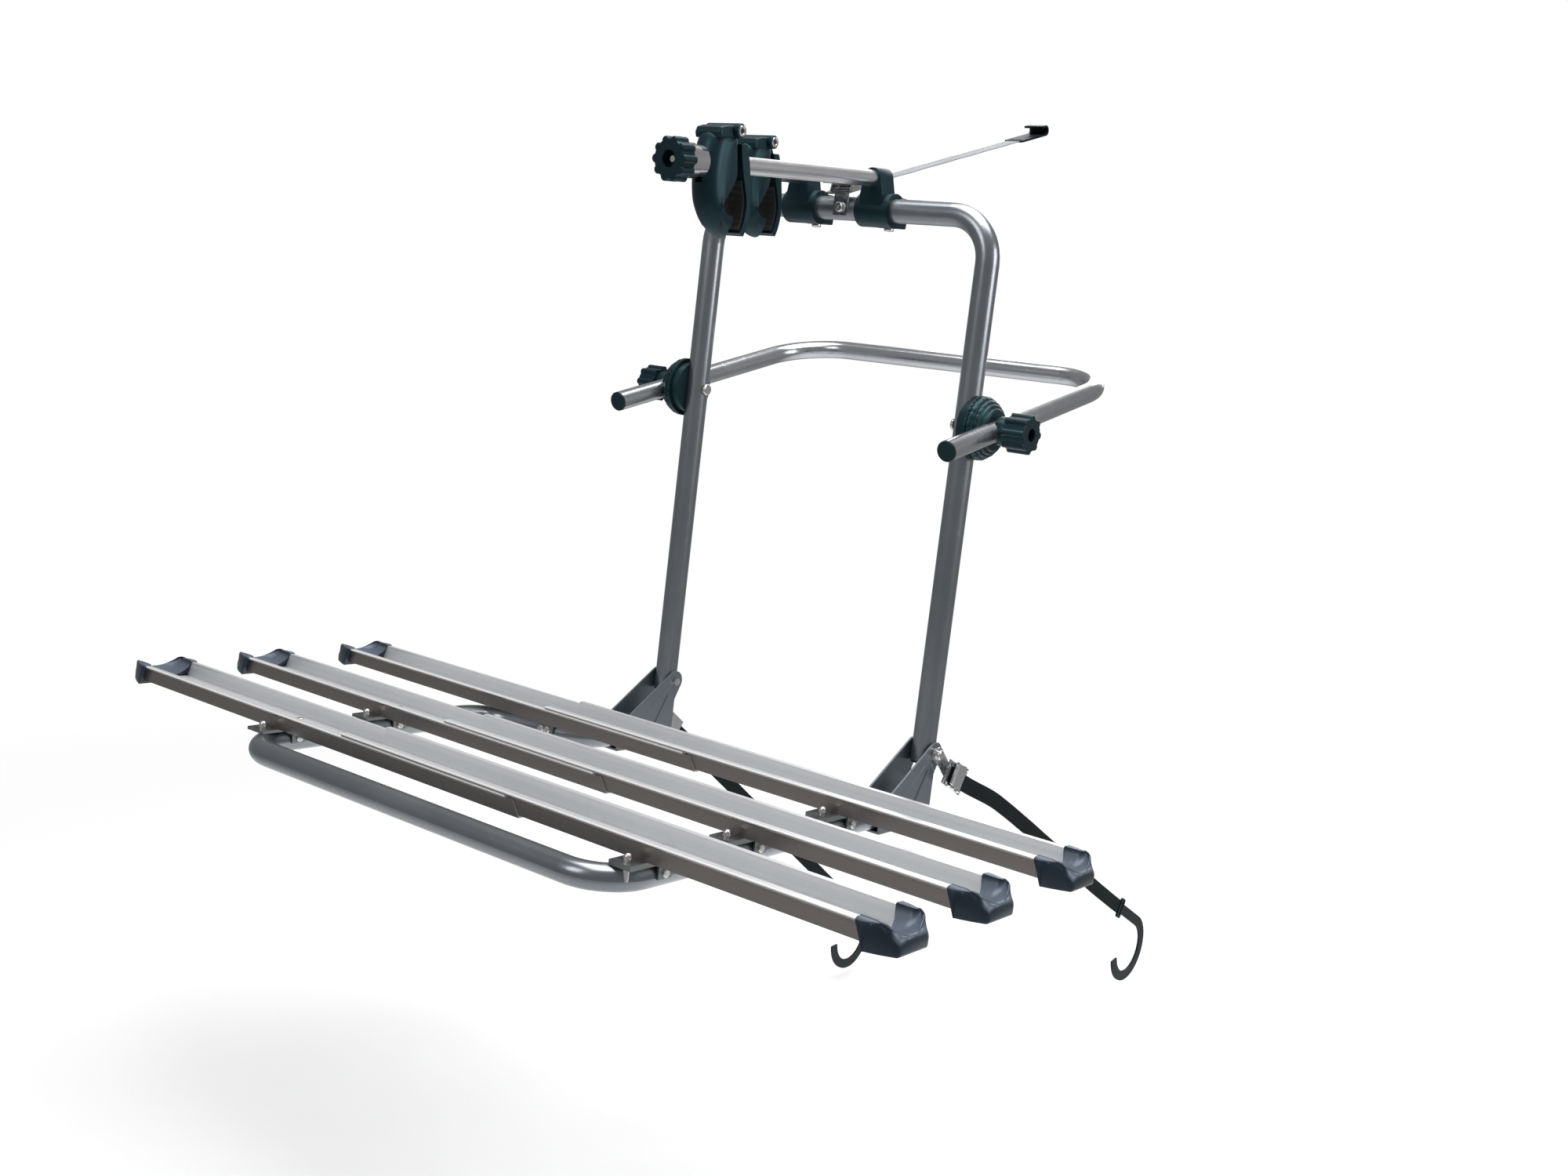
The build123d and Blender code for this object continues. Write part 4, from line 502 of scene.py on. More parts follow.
TOP_SLOPE = 17.6
top_normal = (0.0, -sin(radians(TOP_SLOPE)), cos(radians(TOP_SLOPE)))
straps = {
    "top": (strap_frame((0.0, -0.008, 0.3225), TOP_SLOPE, top_normal),
            0.482, "silver_webbing"),
    "right": (strap_frame((0.281, 0.054, -0.521396), -26.9, (1.0, 0.0, 0.0)),
              0.725, "black_webbing"),
    "left": (strap_frame((-0.281, 0.054, -0.567093), -35.2, (-1.0, 0.0, 0.0)),
             0.725, "black_webbing"),
}
for name, (_, length, _) in straps.items():
    print("strap", name, "is %.3f m long" % (length + STRAP_TUCK))

# %% [markdown]
# ## The weave
# A band with one plain colour would look like plastic. Real webbing is woven, and its face
# shows the yarns as a herringbone. Yarns along the strap are one sine wave across it; the ones
# that cross them are a second wave, whose slant flips back and forth where the ribs fold over.
# Together they make the colour, the gloss and a small bump.

# %% Woven finishes
HERRINGBONE_RIBS = 8
HERRINGBONE_SLANT = 1.6
RIB_SHIFT = 0.05
WEFT_PITCH = 1.4


def webbing(name, dark, light, yarn, specular):
    """Yarns run along the strap and are crossed by finer ones, in a herringbone."""
    material, shader, graph = start_finish(name)
    here = place_on(graph)
    x = graph.add("SeparateXYZ", None, {0: here}, output="X")
    y = graph.add("SeparateXYZ", None, {0: here}, output="Y")
    rib = STRAP_WIDTH / HERRINGBONE_RIBS
    fold = graph.add("Math", {"operation": "PINGPONG"}, {0: y + RIB_SHIFT, 1: rib})
    warp = graph.add("Math", {"operation": "SINE"}, {0: y * (2 * pi / yarn)})
    slanted = (x + fold * HERRINGBONE_SLANT) * (2 * pi / (yarn * WEFT_PITCH))
    weft = graph.add("Math", {"operation": "SINE"}, {0: slanted})
    weave = 0.5 + 0.25 * warp + 0.25 * weft
    fuzz = noise(graph, here, 1400.0, 2.0)
    wear = noise(graph, place_on(graph, (8.0, 60.0, 60.0)), 1.0, 4.0)
    tone = 0.65 * weave + 0.35 * wear - 0.1 * fuzz
    feed(shader, {
        "Base Color": mix(graph, tone, dark, light),
        "Roughness": 0.62 - 0.2 * weave + 0.1 * fuzz,
        "Specular IOR Level": specular,
        "Normal": bump(graph, weave + 0.3 * fuzz, 0.7, 0.0005),
    })
    return material


black_webbing = webbing(
    "black_webbing", (0.001, 0.003, 0.004), (0.006, 0.012, 0.015), 0.0016, 0.12)
silver_webbing = webbing(
    "silver_webbing", (0.05, 0.055, 0.065), (0.42, 0.43, 0.47), 0.0036, 0.5)

# %% [markdown]
# ## The bands
# The edges of a woven band are bound tighter than its face and stand a little higher. So its
# cross-section is drawn as a few points and run along the strap, ring after ring. The rings
# also carry a ripple too small to see as a shape, which keeps the gloss from being dead
# straight, and the right strap's slight bend.

# %% Strap bands
EDGE_SWELL = 0.00025
BINDING = ((0.0, 0.3), (0.0006, 1.2), (0.0022, 1.25), (0.0032, 1.0))


def mesh_piece(name, mesh_maker, material, place=Matrix.Identity(4)):
    """Makes an object from a function that fills a bmesh, and gives it a finish."""
    shape = bmesh.new()
    mesh_maker(shape)
    bmesh.ops.recalc_face_normals(shape, faces=shape.faces)
    mesh = bpy.data.meshes.new(name)
    shape.to_mesh(mesh)
    shape.free()
    mesh.materials.append(material)
    piece = bpy.data.objects.new(name, mesh)
    piece.matrix_world = place
    bpy.context.scene.collection.objects.link(piece)
    return piece


def skin(shape, rings):
    """Joins closed rings of points into a skin that is open at both ends."""
    made = [[shape.verts.new(point) for point in ring] for ring in rings]
    for first, second in zip(made, made[1:]):
        count = len(first)
        for i in range(count):
            j = (i + 1) % count
            shape.faces.new((first[i], first[j], second[j], second[i]))
    return made


def loft(shape, rings):
    """A skin over closed rings of points, with both its ends capped."""
    made = skin(shape, rings)
    shape.faces.new(made[0])
    shape.faces.new(made[-1])


def smooth(piece, angle):
    """Smooth shading, with edges kept crisp where the surface turns by more than the angle."""
    piece.data.polygons.foreach_set("use_smooth", [True] * len(piece.data.polygons))
    piece.data.set_sharp_from_angle(angle=angle)


def turned(shape, rows):
    """Joins open rows of points into a round body and closes both its ends."""
    made = [[shape.verts.new(point) for point in row] for row in rows]
    for first, second in zip(made, made[1:] + made[:1]):
        for i in range(len(first) - 1):
            shape.faces.new((first[i], first[i + 1], second[i + 1], second[i]))
    for end in (0, -1):
        shape.faces.new([row[end] for row in made])


def strip(shape, first, second):
    """Quads between two rows of points."""
    low = [shape.verts.new(point) for point in first]
    high = [shape.verts.new(point) for point in second]
    for i in range(len(low) - 1):
        shape.faces.new((low[i], low[i + 1], high[i + 1], high[i]))


def band_ring(x, lift, wave):
    """The woven band's cross-section: bound edges that stand a little proud of the face."""
    half = STRAP_WIDTH / 2
    thin = STRAP_THICKNESS / 2 - EDGE_SWELL
    left = [(inward - half, share) for inward, share in BINDING]
    right = [(-y, share) for y, share in reversed(left)]
    top = left + [(0.0, 1.0)] + right
    upper = [(x, y + lift, STRAP_MIDDLE + wave + thin * share) for y, share in top]
    lower = [(x, y + lift, STRAP_MIDDLE + wave - thin * share) for y, share in reversed(top)]
    return upper + lower


RIPPLE = 0.0002
RIPPLES = 70.0
FLAT_END = 0.02
STEP = 0.012
KINK_AT = 0.16
KINK_END = 0.03
KINK_LIFT = {"top": 0.0, "right": 0.011, "left": 0.0}


def share_of(t, first, last):
    """How far t has come from first to last, from 0 to 1."""
    return max(0.0, min(1.0, (t - first) / (last - first)))


def ease_in(share):
    """A soft start and a soft end for a share from 0 to 1."""
    return share * share * (3.0 - 2.0 * share)


def kink(name, x, length):
    """How far the strap stands off its straight line: up to its kink, and down again."""
    foot = 0.0 if x < KINK_AT else length - KINK_END
    return KINK_LIFT[name] * ease_in(share_of(x, foot, KINK_AT))


for name, (place, length, slot) in straps.items():
    count = int((length + STRAP_TUCK) / STEP)
    xs = [-STRAP_TUCK + (length + STRAP_TUCK) * i / count for i in range(count + 1)]
    lifts = [kink(name, x, length) for x in xs]
    rings = [band_ring(x, lift, RIPPLE * sin(RIPPLES * x) * (0.0 < x < length - FLAT_END))
             for x, lift in zip(xs, lifts)]
    finish = silver_webbing if slot == "silver_webbing" else black_webbing
    band = mesh_piece("strap_band_" + name, lambda shape: loft(shape, rings), finish, place)
    for face in band.data.polygons:
        face.use_smooth = True
    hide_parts("strap_" + name)
    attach(band, "upright")
    path = [place @ Vector((x, lift, STRAP_MIDDLE)) for x, lift in zip(xs, lifts)]
    place @ Vector((0.0, 0.0, STRAP_MIDDLE))
    length + STRAP_TUCK
    frame["nodes"]["strap_hook_" + name]

# %% [markdown]
# ## Jaw shells
# The outer jaw is a moulded shell, full and round like half an egg, that hangs from its hinge
# and curls in under the mouth. Seen from the side it is one profile, and two smooth lines
# through a few points draw it: the back, and the mouth. Points that are evenly spaced along
# each line let the two be joined pair by pair. The head leans with its arm, so everything is
# drawn in the head's own plane and placed by one matrix.

# %% The jaw's profile, in the head's own plane
ARM_TILT = radians(5.4)
TOP_BAR_Z = 0.297
ARM_RISE = 0.0453
ARM_X = {"a": -0.078, "b": 0.058}
HINGE_REACH = {"a": 0.122, "b": 0.362}
HALF_HEAD = 0.022
FINE_STEPS = 12
TINY = 1e-9
BACK_POINTS = ((8, 42), (28, 41), (39, 33), (47, 5), (49, -27), (44, -56), (31, -79),
               (13, -91), (0, -95))
MOUTH_POINTS = ((2, 38), (0, 27), (-2, 7), (-3, -14), (2, -26), (12, -39), (21, -55),
                (21.5, -70), (14, -83.5), (2, -88))


def smooth_line(points, count):
    """Evenly spaced points, in metres, on a smooth line through the ones given in mm."""
    knots = [Vector((u, v)) / 1000 for u, v in points]
    knots = [2 * knots[0] - knots[1]] + knots + [2 * knots[-1] - knots[-2]]
    fine = []
    for p0, p1, p2, p3 in zip(knots, knots[1:], knots[2:], knots[3:]):
        for i in range(FINE_STEPS):
            t = i / FINE_STEPS
            fine.append(0.5 * (2 * p1 + (p2 - p0) * t + (2 * p0 - 5 * p1 + 4 * p2 - p3) * t * t
                               + (3 * p1 - p0 - 3 * p2 + p3) * t * t * t))
    fine.append(knots[-2])
    reach = [0.0]
    for first, second in zip(fine, fine[1:]):
        reach.append(reach[-1] + (second - first).length)
    line = []
    k = 0
    for i in range(count):
        goal = reach[-1] * i / (count - 1)
        while k < len(fine) - 2 and reach[k + 1] < goal:
            k += 1
        share = (goal - reach[k]) / max(reach[k + 1] - reach[k], TINY)
        line.append(fine[k].lerp(fine[k + 1], min(share, 1.0)))
    return line


def head_matrix(name):
    """The head's frame: its X out along the arm, its Y up and its Z across to the left."""
    out = Vector((0.0, -cos(ARM_TILT), -sin(ARM_TILT)))
    up = Vector((0.0, -sin(ARM_TILT), cos(ARM_TILT)))
    origin = (Vector((ARM_X[name], 0.0, TOP_BAR_Z)) + out * HINGE_REACH[name]
              + up * ARM_RISE)
    facing = Matrix((out, up, out.cross(up))).transposed().to_4x4()
    return Matrix.Translation(origin) @ facing


# %% [markdown]
# ## From profile to shell
# The roundness comes from how the profile shrinks towards the two flanks. So the shell is
# stacked from copies of it across its width: in the middle they are full, and towards each
# flank the back draws in along a quarter circle and the tip lifts. Each flank swells a little,
# and a slot lets the threaded stud through as the jaw swings. A Boolean modifier cuts it, since
# that is simpler than leaving the hole out of every layer.

# %% Shell, with its flanks drawn in and a slot for the stud
SHELL_ROUND = 0.020
SHELL_LIFT_BELOW = -0.045
SHELL_LIFT_OVER = 0.040
SHELL_EDGE = 0.0015
MOST_DRAWN = 0.72
LAYERS = 9
MERGE_REACH = 1e-6
FLANK = ((0.15, 0.0008), (0.35, 0.0014), (0.6, 0.0014), (0.85, 0.0006))
POINTS = 40
SLOT = ((-0.012, 0.055), (-0.026, 0.0058), (-0.0056, 0.0056))
back_line = smooth_line(BACK_POINTS, POINTS)
mouth_line = smooth_line(MOUTH_POINTS, POINTS)


def shell_layer(across, draw):
    """One closed copy of the profile, its back drawn in and its tip lifted."""
    ring = []
    for back, mouth in zip(back_line, mouth_line):
        gap = (mouth - back).length
        moved = back.lerp(mouth, min(draw / gap, MOST_DRAWN))
        ring.append(moved)
    for mouth in reversed(mouth_line):
        ring.append(mouth + Vector((min(draw, SHELL_EDGE) / 2, 0.0)))
    layer = []
    for point in ring:
        low = max(0.0, (SHELL_LIFT_BELOW - point.y) / SHELL_LIFT_OVER)
        layer.append((point.x, point.y + draw * low, across))
    return layer


def shell_maker(shape):
    layers = []
    for i in range(2 * LAYERS):
        side = -1 if i < LAYERS else 1
        step = LAYERS - 1 - i if i < LAYERS else i - LAYERS
        angle = pi / 2 * step / (LAYERS - 1)
        across = HALF_HEAD - SHELL_ROUND * (1 - sin(angle))
        layers.append(shell_layer(side * across, SHELL_ROUND * (1 - cos(angle))))
    skin(shape, layers)
    for side, layer in ((-1, layers[0]), (1, layers[-1])):
        backs = [Vector(point) for point in layer[:POINTS]]
        mouths = [Vector(point) for point in reversed(layer[POINTS:])]
        rows = [backs]
        for share, swell in FLANK:
            rows.append([back.lerp(mouth, share) + Vector((0.0, 0.0, side * swell))
                         for back, mouth in zip(backs, mouths)])
        rows.append(mouths)
        for first, second in zip(rows, rows[1:]):
            strip(shape, first, second)
    bmesh.ops.remove_doubles(shape, verts=shape.verts, dist=MERGE_REACH)


def block_maker(shape):
    (x0, x1), (y0, y1), (z0, z1) = SLOT
    corners = [[(x, y0, z0), (x, y1, z0), (x, y1, z1), (x, y0, z1)] for x in (x0, x1)]
    loft(shape, corners)


def cut(piece, cutter):
    """Takes the cutter's volume out of the piece and removes the cutter."""
    tool = piece.modifiers.new("cut", "BOOLEAN")
    tool.operation = "DIFFERENCE"
    tool.solver = "EXACT"
    tool.object = cutter
    bpy.context.view_layer.update()
    graph = bpy.context.evaluated_depsgraph_get()
    mesh = bpy.data.meshes.new_from_object(piece.evaluated_get(graph))
    piece.modifiers.clear()
    piece.data = mesh
    bpy.data.objects.remove(cutter)


for name in ("a", "b"):
    place = head_matrix(name)
    shell = mesh_piece("jaw_shell_" + name, shell_maker, jaw_plastic, place)
    cut(shell, mesh_piece("cutter", block_maker, jaw_plastic, place))
    smooth(shell, SMOOTH_ANGLE)
    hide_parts("outer_jaw_" + name)
    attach(shell, "jaw_" + name)
print("faces on each jaw shell:", len(shell.data.polygons))

# %% [markdown]
# ## The hinge's bridge
# On top of the shell sits a flat bridge with soft edges that joins it to the hinge. It is a
# plain plate in side view, a little wider than the shell, so it reads as a lid.

# %% Bridges
BRIDGE_POINTS = ((-0.004, 0.033), (-0.006, 0.044), (0.002, 0.0480), (0.022, 0.0480),
                 (0.033, 0.0450), (0.0362, 0.038), (0.0345, 0.031))
BRIDGE_MIDDLE = Vector((0.018, 0.041))
BRIDGE_HALF = 0.0222
BRIDGE_ROUND = 0.0022
BRIDGE_EASE = 0.002


def bridge_maker(shape):
    rings = []
    for across, draw in ((-BRIDGE_HALF, BRIDGE_ROUND), (-BRIDGE_HALF + BRIDGE_ROUND, 0.0),
                         (BRIDGE_HALF - BRIDGE_ROUND, 0.0), (BRIDGE_HALF, BRIDGE_ROUND)):
        ring = []
        for point in BRIDGE_POINTS:
            arm = Vector(point) - BRIDGE_MIDDLE
            moved = BRIDGE_MIDDLE + arm * (1.0 - draw / arm.length)
            ring.append((moved.x, moved.y, across))
        rings.append(ring)
    loft(shape, rings)


for name in ("a", "b"):
    bridge = mesh_piece("jaw_bridge_" + name, bridge_maker, jaw_plastic, head_matrix(name))
    ease = bridge.modifiers.new("ease", "BEVEL")
    ease.width = BRIDGE_EASE
    ease.segments = EASE_SEGMENTS
    ease.limit_method = "ANGLE"
    smooth(bridge, SMOOTH_ANGLE)
    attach(bridge, "jaw_" + name)
print("corners of a bridge's outline:", len(BRIDGE_POINTS))

# %% [markdown]
# ## Hinge barrels
# The bridge is held by a bolt in a round barrel. At one end a bright washer rings the bolt's
# socket, whose shaded hollow is a thin dark disc: painted shade. All three are lathe shapes,
# so one small maker turns any line of radius against distance round the hinge.

# %% Barrels
HINGE_RISE = 0.042
BARREL_SIDES = 64
BARREL_LINE = ((0.0060, -0.0285), (0.0086, -0.0285), (0.0096, -0.0275), (0.0096, 0.0275),
               (0.0086, 0.0285), (0.0060, 0.0285))
RING_LINE = ((0.0036, -0.0284), (0.0036, -0.0293), (0.0044, -0.0299), (0.0062, -0.0299),
             (0.0070, -0.0293), (0.0070, -0.0284))
# A thin dark disc with the rubber's finish stands in for the socket's hollow: painted shade.
SOCKET_SHADE_LINE = ((0.0038, -0.0282), (0.0038, -0.0288), (0.0005, -0.0288))


def turned_maker(line):
    """A maker that turns a line of radius against distance round the hinge's axis."""
    def maker(shape):
        angles = [2 * pi * i / BARREL_SIDES for i in range(BARREL_SIDES)]
        turned(shape, [[(radius * cos(angle), HINGE_RISE + radius * sin(angle), across)
                        for radius, across in line] for angle in angles])
    return maker


HINGE_PARTS = (("barrel", BARREL_LINE, jaw_plastic), ("ring", RING_LINE, bolt_metal),
               ("socket", SOCKET_SHADE_LINE, pad_rubber))
for name in ("a", "b"):
    for part, line, finish in HINGE_PARTS:
        piece = mesh_piece("hinge_%s_%s" % (part, name), turned_maker(line), finish,
                           head_matrix(name))
        smooth(piece, SMOOTH_ANGLE)
        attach(piece, "jaw_" + name)
print("hinge parts on each head:", len(HINGE_PARTS))

# %% [markdown]
# ## Clamp sleeves
# Between a knob and its jaw sits a bright turned sleeve that presses on the shell's back. A
# lathe shape is enough: a line of radius against distance, turned round the stud, with its
# edges broken by small chamfers that catch a ring of light.

# %% Sleeves
SLEEVE_LINE = ((0.0196, 0.0500), (0.0212, 0.0514), (0.0212, 0.0650), (0.0224, 0.0662),
               (0.0224, 0.0812), (0.0212, 0.0830), (0.0186, 0.0850))
SLEEVE_SIDES = 96
SLEEVE_ANGLE = radians(20)


def sleeve_maker(shape):
    angles = [2 * pi * i / SLEEVE_SIDES for i in range(SLEEVE_SIDES)]
    turned(shape, [[(reach, radius * cos(angle), radius * sin(angle))
                    for radius, reach in SLEEVE_LINE] for angle in angles])


for name in ("a", "b"):
    sleeve = mesh_piece("clamp_sleeve_" + name, sleeve_maker, collar_metal, head_matrix(name))
    smooth(sleeve, SLEEVE_ANGLE)
    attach(sleeve, "collar_" + name)
print("faces on each sleeve:", len(sleeve.data.polygons))

# %% [markdown]
# ## Rail caps
# Each rail ends in a moulded cap: a socket that grips the rail, with a slanting edge, and a nose
# that narrows while a round scoop runs out over it. One cross-section after another tells the
# whole shape, and three lines along the cap steer them: the ridge, where the side wall ends,
# which falls towards the tip; the rim, where the scoop begins; and the scoop's bottom, which
# climbs until it meets the rim at the mouth. Moving the low points of the first rings along the
# rail gives the slanting edge.

# %% Caps
CAP_LONG = 0.051
CAP_HALF = 0.047
CAP_TIP_HALF = 0.029
CAP_NOSE_START = 0.12
CAP_NOSE_CURVE = 1.5
CAP_SLANT = 0.014
CAP_SLANT_END = 0.28
CAP_ROLL = 0.007
CAP_SOLE = 0.006
CAP_SOFT = 0.0022
CAP_CORNER = 0.3
HORN_END = 0.60
HORN_DROP = 0.0050
MOUTH_END = 0.93
MOUTH_DROP = 0.0150
MOUTH_SPREAD = 0.0045
MOUTH_TIP_HALF = 0.006
MOUTH_CURVE = 2.0
RIDGE_EDGE = 0.0025
RIDGE_START = 0.52
RIDGE_DROP = 0.0215
RIDGE_CURVE = 1.15
RIDGE_ROLL = ((0.0, 0.0016), (0.0006, 0.0002))
RIM_WIDTH = 0.0045
RIM_MARGIN = 0.0004
RIM_CURVE = 2.2
RIM_ROLL = ((0.0, 0.0012), (0.0011, 0.0001), (0.0026, 0.0))
SHOULDER = (0.25, 0.5, 0.75)
SHOULDER_SWELL = 0.16
SHOULDER_LEAN = 0.3
SCOOP_TURN = 0.43
SCOOP_FLOOR = 0.003
SCOOP_CURVE = 1.7
SCOOP_SET = 0.0008
SCOOP_LEAST = 0.0002
ARC_STEPS = 18
ARC_POWER = 1.15
CAP_RINGS = 31
FULL_RINGS = (0.04, 0.94)
START_RINGS = ((0.0, 0.0012), (0.02, 0.0003))
TIP_RINGS = ((0.975, 0.0008), (1.0, 0.0032))


def cap_ring(t, draw, cap):
    """One cross-section, t of the way to the tip and drawn in a little at the ends."""
    start, side, middle, base, top, scoop = cap
    nose = share_of(t, CAP_NOSE_START, 1.0) ** CAP_NOSE_CURVE
    half = CAP_HALF - (CAP_HALF - CAP_TIP_HALF) * nose - draw
    sole = base - CAP_SOLE + draw
    fallen = share_of(t, RIDGE_START, 1.0) ** RIDGE_CURVE
    ridge = top - RIDGE_EDGE - RIDGE_DROP * fallen - draw
    closing = share_of(t, HORN_END, MOUTH_END)
    dip = (MOUTH_DROP - HORN_DROP) * ease_in(closing) ** RIM_CURVE
    rim = top - HORN_DROP * closing - dip - draw
    opened = scoop + MOUTH_SPREAD * ease_in(share_of(t, SCOOP_TURN, HORN_END))
    open_half = opened - (opened - MOUTH_TIP_HALF) * closing ** MOUTH_CURVE
    rim_half = min(open_half + RIM_WIDTH, half - RIM_MARGIN)
    floor_z = base + SCOOP_FLOOR
    low = floor_z + (top - MOUTH_DROP - floor_z) * (t / MOUTH_END) ** SCOOP_CURVE
    low = min(low, rim - SCOOP_LEAST)
    swell = SHOULDER_SWELL * (half - rim_half)
    right = [(half - CAP_SOFT, sole),
             (half - CAP_CORNER * CAP_SOFT, sole + CAP_CORNER * CAP_SOFT),
             (half, sole + CAP_SOFT)]
    right += [(half - inward, ridge - down) for inward, down in RIDGE_ROLL]
    rim_foot = rim - RIM_ROLL[0][1]
    for part in SHOULDER:
        bulge = swell * sin(pi * part)
        right.append((half + (rim_half - half) * part + SHOULDER_LEAN * bulge,
                      ridge + (rim_foot - ridge) * part + bulge))
    right += [(rim_half - inward, rim - down) for inward, down in RIM_ROLL]
    brink = rim - SCOOP_SET
    arc = [(open_half * cos(pi * i / ARC_STEPS),
            brink - (brink - low) * sin(pi * i / ARC_STEPS) ** ARC_POWER)
           for i in range(ARC_STEPS + 1)]
    ring = right + arc + [(-y, z) for y, z in reversed(right)]
    points = []
    for y, z in ring:
        slanted = max(0.0, (top - CAP_ROLL - z) / (top - CAP_ROLL - base + CAP_SOLE))
        slanted *= max(0.0, 1.0 - t / CAP_SLANT_END)
        x = start + side * (CAP_LONG * t + CAP_SLANT * slanted)
        points.append((x, middle + y, z))
    return points


def cap_maker(cap):
    """A maker for one cap: a loft over all its cross-sections."""
    def maker(shape):
        first, last = FULL_RINGS
        full = [(first + (last - first) * i / (CAP_RINGS - 1), 0.0) for i in range(CAP_RINGS)]
        loft(shape, [cap_ring(t, draw, cap) for t, draw in [*START_RINGS, *full, *TIP_RINGS]])
    return maker


CAP_ANGLE = radians(40)
RAIL_MIDDLES = (-0.585, -0.400, -0.195)
# where the socket starts, which way it points, its base, its top and the scoop's half width
CAP_KINDS = {"left": (-0.765, -1, -0.5410, -0.5130, 0.0352),
             "right": (0.582, 1, -0.5395, -0.5085, 0.0334)}
for number, middle in enumerate(RAIL_MIDDLES):
    for side_name, (start, side, base, top, scoop) in CAP_KINDS.items():
        cap = (start, side, middle, base, top, scoop)
        piece = mesh_piece("rail_cap_%d_%s" % (number + 1, side_name), cap_maker(cap),
                           cap_plastic)
        smooth(piece, CAP_ANGLE)
        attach(piece, "platform")
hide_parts("rail_caps")

# %% [markdown]
# ## Clamp domes
# Where the hoop is clamped to a leg, two toothed discs mesh, and on the hoop's side the disc
# steps down in round rings like an onion. The rings are a lathe job: a line of radius against
# depth, turned round the bolt. Their line is full of quarter circles, which is what catches
# the light in rings. A few shallow flutes run over the widest ring, where a thumb would turn it.

# %% Domes
LEG_X = 0.255
SPLIT = 0.0268
DOME_STEPS = ((0.0460, 0.0, 0.0095), (0.0415, 0.0090, 0.0060), (0.0365, 0.0145, 0.0055),
              (0.0310, 0.0195, 0.0050))
DOME_TOP = (0.0215, 0.0245)
DOME_EDGE = 0.0012
SHOULDER_SHARE = 0.8
FLUTES = 24
FLUTE_DEPTH = 0.0007
FLUTED_FROM = 0.040
DOME_SIDES = 144
CORNER_STEPS = 6


def dome_line():
    """Radius against depth, from the split outwards: four rings with rounded shoulders."""
    line = [(DOME_STEPS[0][0] - DOME_EDGE, 0.0)]
    for radius, start, deep in DOME_STEPS:
        round_r = SHOULDER_SHARE * deep
        line.append((radius, start + DOME_EDGE))
        for i in range(CORNER_STEPS + 1):
            angle = pi / 2 * i / CORNER_STEPS
            line.append((radius - round_r * (1 - cos(angle)),
                         start + deep - round_r * (1 - sin(angle))))
    line.append(DOME_TOP)
    return line


def dome_maker(shape):
    rows = []
    for i in range(DOME_SIDES):
        angle = 2 * pi * i / DOME_SIDES
        row = []
        for radius, depth in dome_line():
            flute = FLUTE_DEPTH * max(0.0, cos(FLUTES * angle)) * (radius > FLUTED_FROM)
            row.append(((radius - flute) * cos(angle), (radius - flute) * sin(angle), depth))
        rows.append(row)
    turned(shape, rows)


for side, name in ((-1, "left"), (1, "right")):
    out = Vector((side, 0.0, 0.0))
    forward = Vector((0.0, 1.0, 0.0))
    facing = Matrix((forward, out.cross(forward), out)).transposed().to_4x4()
    place = Matrix.Translation((side * (LEG_X + SPLIT), 0.0, 0.0)) @ facing
    dome = mesh_piece("clamp_dome_" + name, dome_maker, disc_plastic, place)
    smooth(dome, SMOOTH_ANGLE)
    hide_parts("hoop_disc_" + name)
    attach(dome, "hoop")
print("rings on each dome:", len(DOME_STEPS))

# %% [markdown]
# ## Studio
# The rack is shown alone, just above a plain pale floor that fades into the backdrop. One very
# large soft lamp hangs overhead, as a window roof would. A second stands to the right, a third
# behind the rack, and a fourth in front fills the shadows. So the tops of the rails and the
# right sides of the tubes are bright, and what faces the camera stays darker. The world is
# white for the camera and dimmer for everything else, so the backdrop is clean and the shading
# keeps its depth.

# %% Floor, lamps and world
FLOOR_DROP = 0.02
FLOOR_SIZE = 40.0
FLOOR_TINT = (0.90, 0.90, 0.90)
FLOOR_MOTTLE = 1.03
FLOOR_FADE_START = 0.6
FLOOR_FADE_END = 2.6
centre = (cad_low + cad_high) / 2


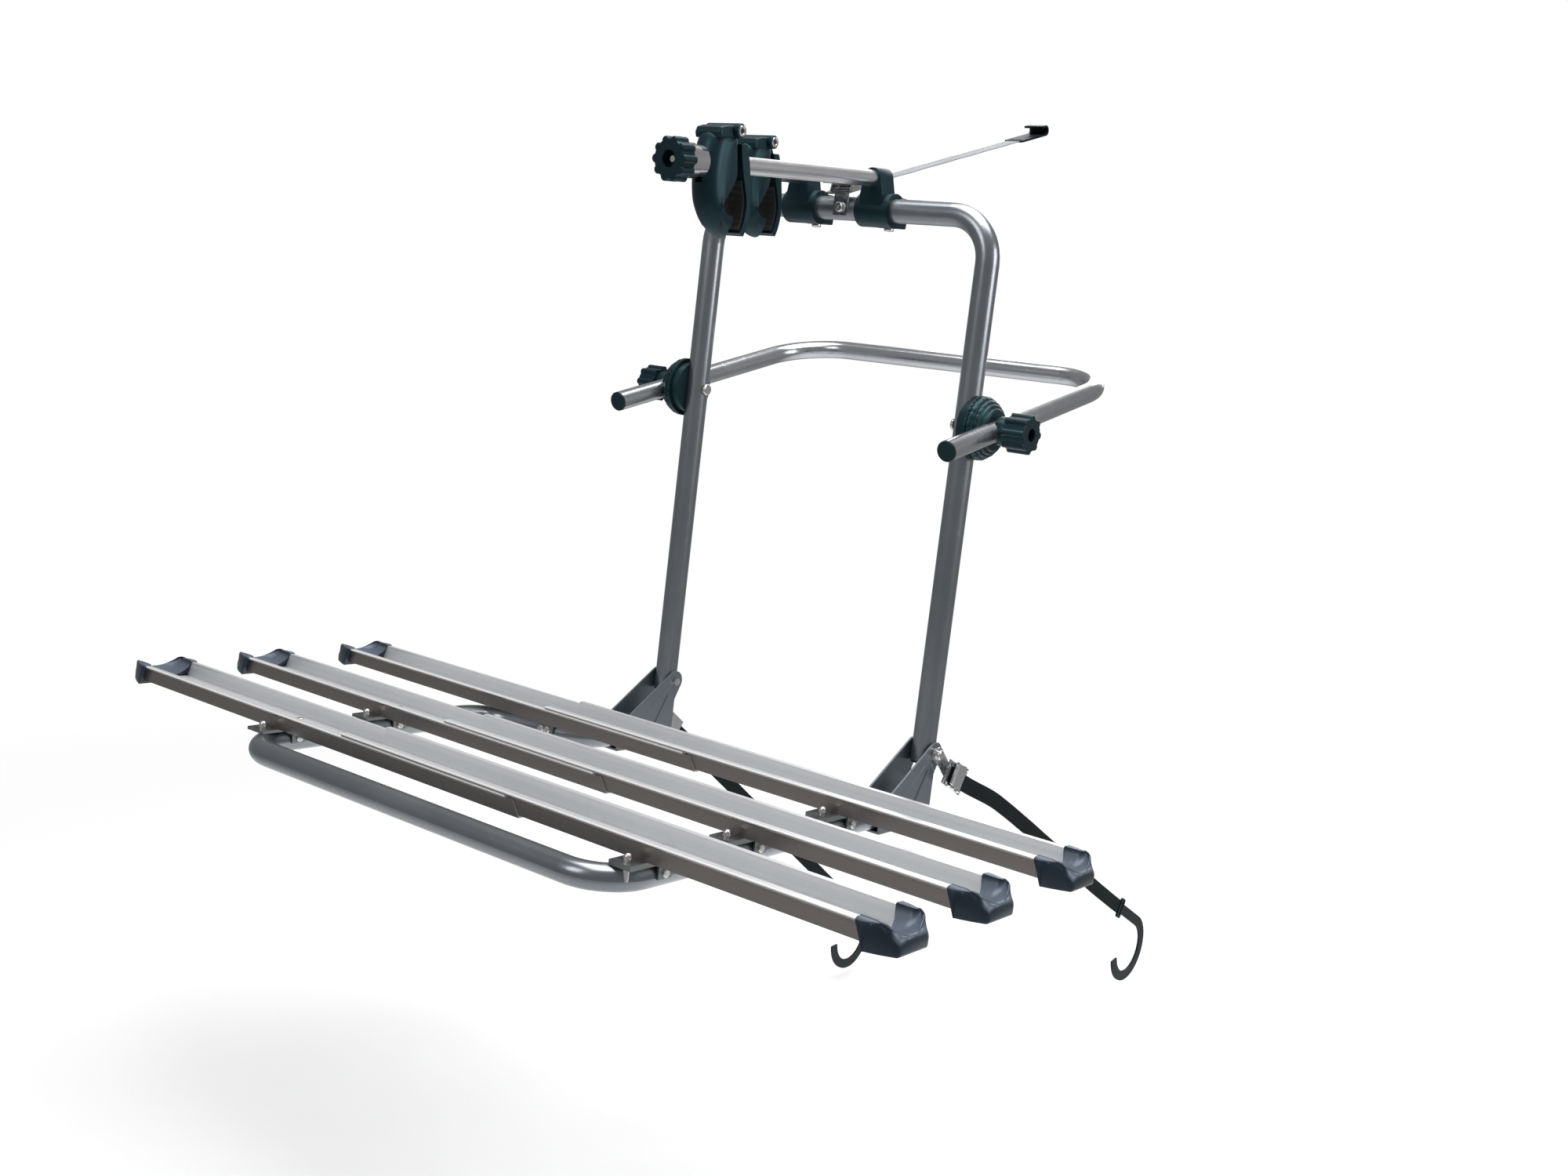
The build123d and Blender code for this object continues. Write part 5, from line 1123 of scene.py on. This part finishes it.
def floor_finish():
    """A pale floor that fades into the backdrop away from the rack."""
    material, shader, graph = start_finish("floor_finish")
    here = place_on(graph)
    mottle = noise(graph, here, 3.0, 4.0)
    away = graph.add("VectorMath", {"operation": "LENGTH"}, {0: here}, output="Value")
    whiter = tuple(min(1.0, part * FLOOR_MOTTLE) for part in FLOOR_TINT)
    feed(shader, {
        "Base Color": mix(graph, mottle, FLOOR_TINT, whiter),
        "Roughness": 0.8,
        "Alpha": contrast(graph, away, FLOOR_FADE_END, FLOOR_FADE_START),
    })
    return material


def floor_maker(shape):
    half = FLOOR_SIZE / 2
    corners = [(-half, -half, 0), (half, -half, 0), (half, half, 0), (-half, half, 0)]
    shape.faces.new([shape.verts.new(corner) for corner in corners])


floor_place = Matrix.Translation((centre.x, centre.y, cad_low.z - FLOOR_DROP))
floor = mesh_piece("floor", floor_maker, floor_finish(), floor_place)


def soft_lamp(name, place, target, size, power):
    """A square area lamp that looks at a target."""
    light = bpy.data.lights.new(name, "AREA")
    light.shape = "SQUARE"
    light.size = size
    light.energy = power
    lamp = bpy.data.objects.new(name, light)
    aim = Vector(target) - Vector(place)
    lamp.matrix_world = (Matrix.Translation(place)
                         @ aim.to_track_quat("-Z", "Y").to_matrix().to_4x4())
    lamp.visible_camera = False
    bpy.context.scene.collection.objects.link(lamp)


LAMPS = (("roof_lamp", (0.2, -0.1, 2.9), 3.2, 170.0), ("right_lamp", (3.2, 0.9, 0.9), 1.5, 38.0),
         ("back_lamp", (-0.9, 3.2, 1.5), 2.2, 40.0), ("front_lamp", (-0.6, -3.6, 1.6), 1.6, 30.0))
for name, place, size, power in LAMPS:
    soft_lamp(name, place, centre, size, power)
print("lamps:", len(LAMPS))

WORLD_DIM = 0.26
world = bpy.data.worlds.new("studio_world")
world.use_nodes = True
world.node_tree.nodes.clear()
sky = Signal(world.node_tree)
seen = sky.add("LightPath", output="Is Camera Ray")
strength = WORLD_DIM + (1.0 - WORLD_DIM) * seen
shade = sky.add("Background", None, {"Color": (1.0, 1.0, 1.0, 1.0), "Strength": strength})
world_output = world.node_tree.nodes.new("ShaderNodeOutputWorld")
world.node_tree.links.new(shade.socket, world_output.inputs["Surface"])
bpy.context.scene.world = world
bpy.context.scene.view_settings.view_transform = "Standard"
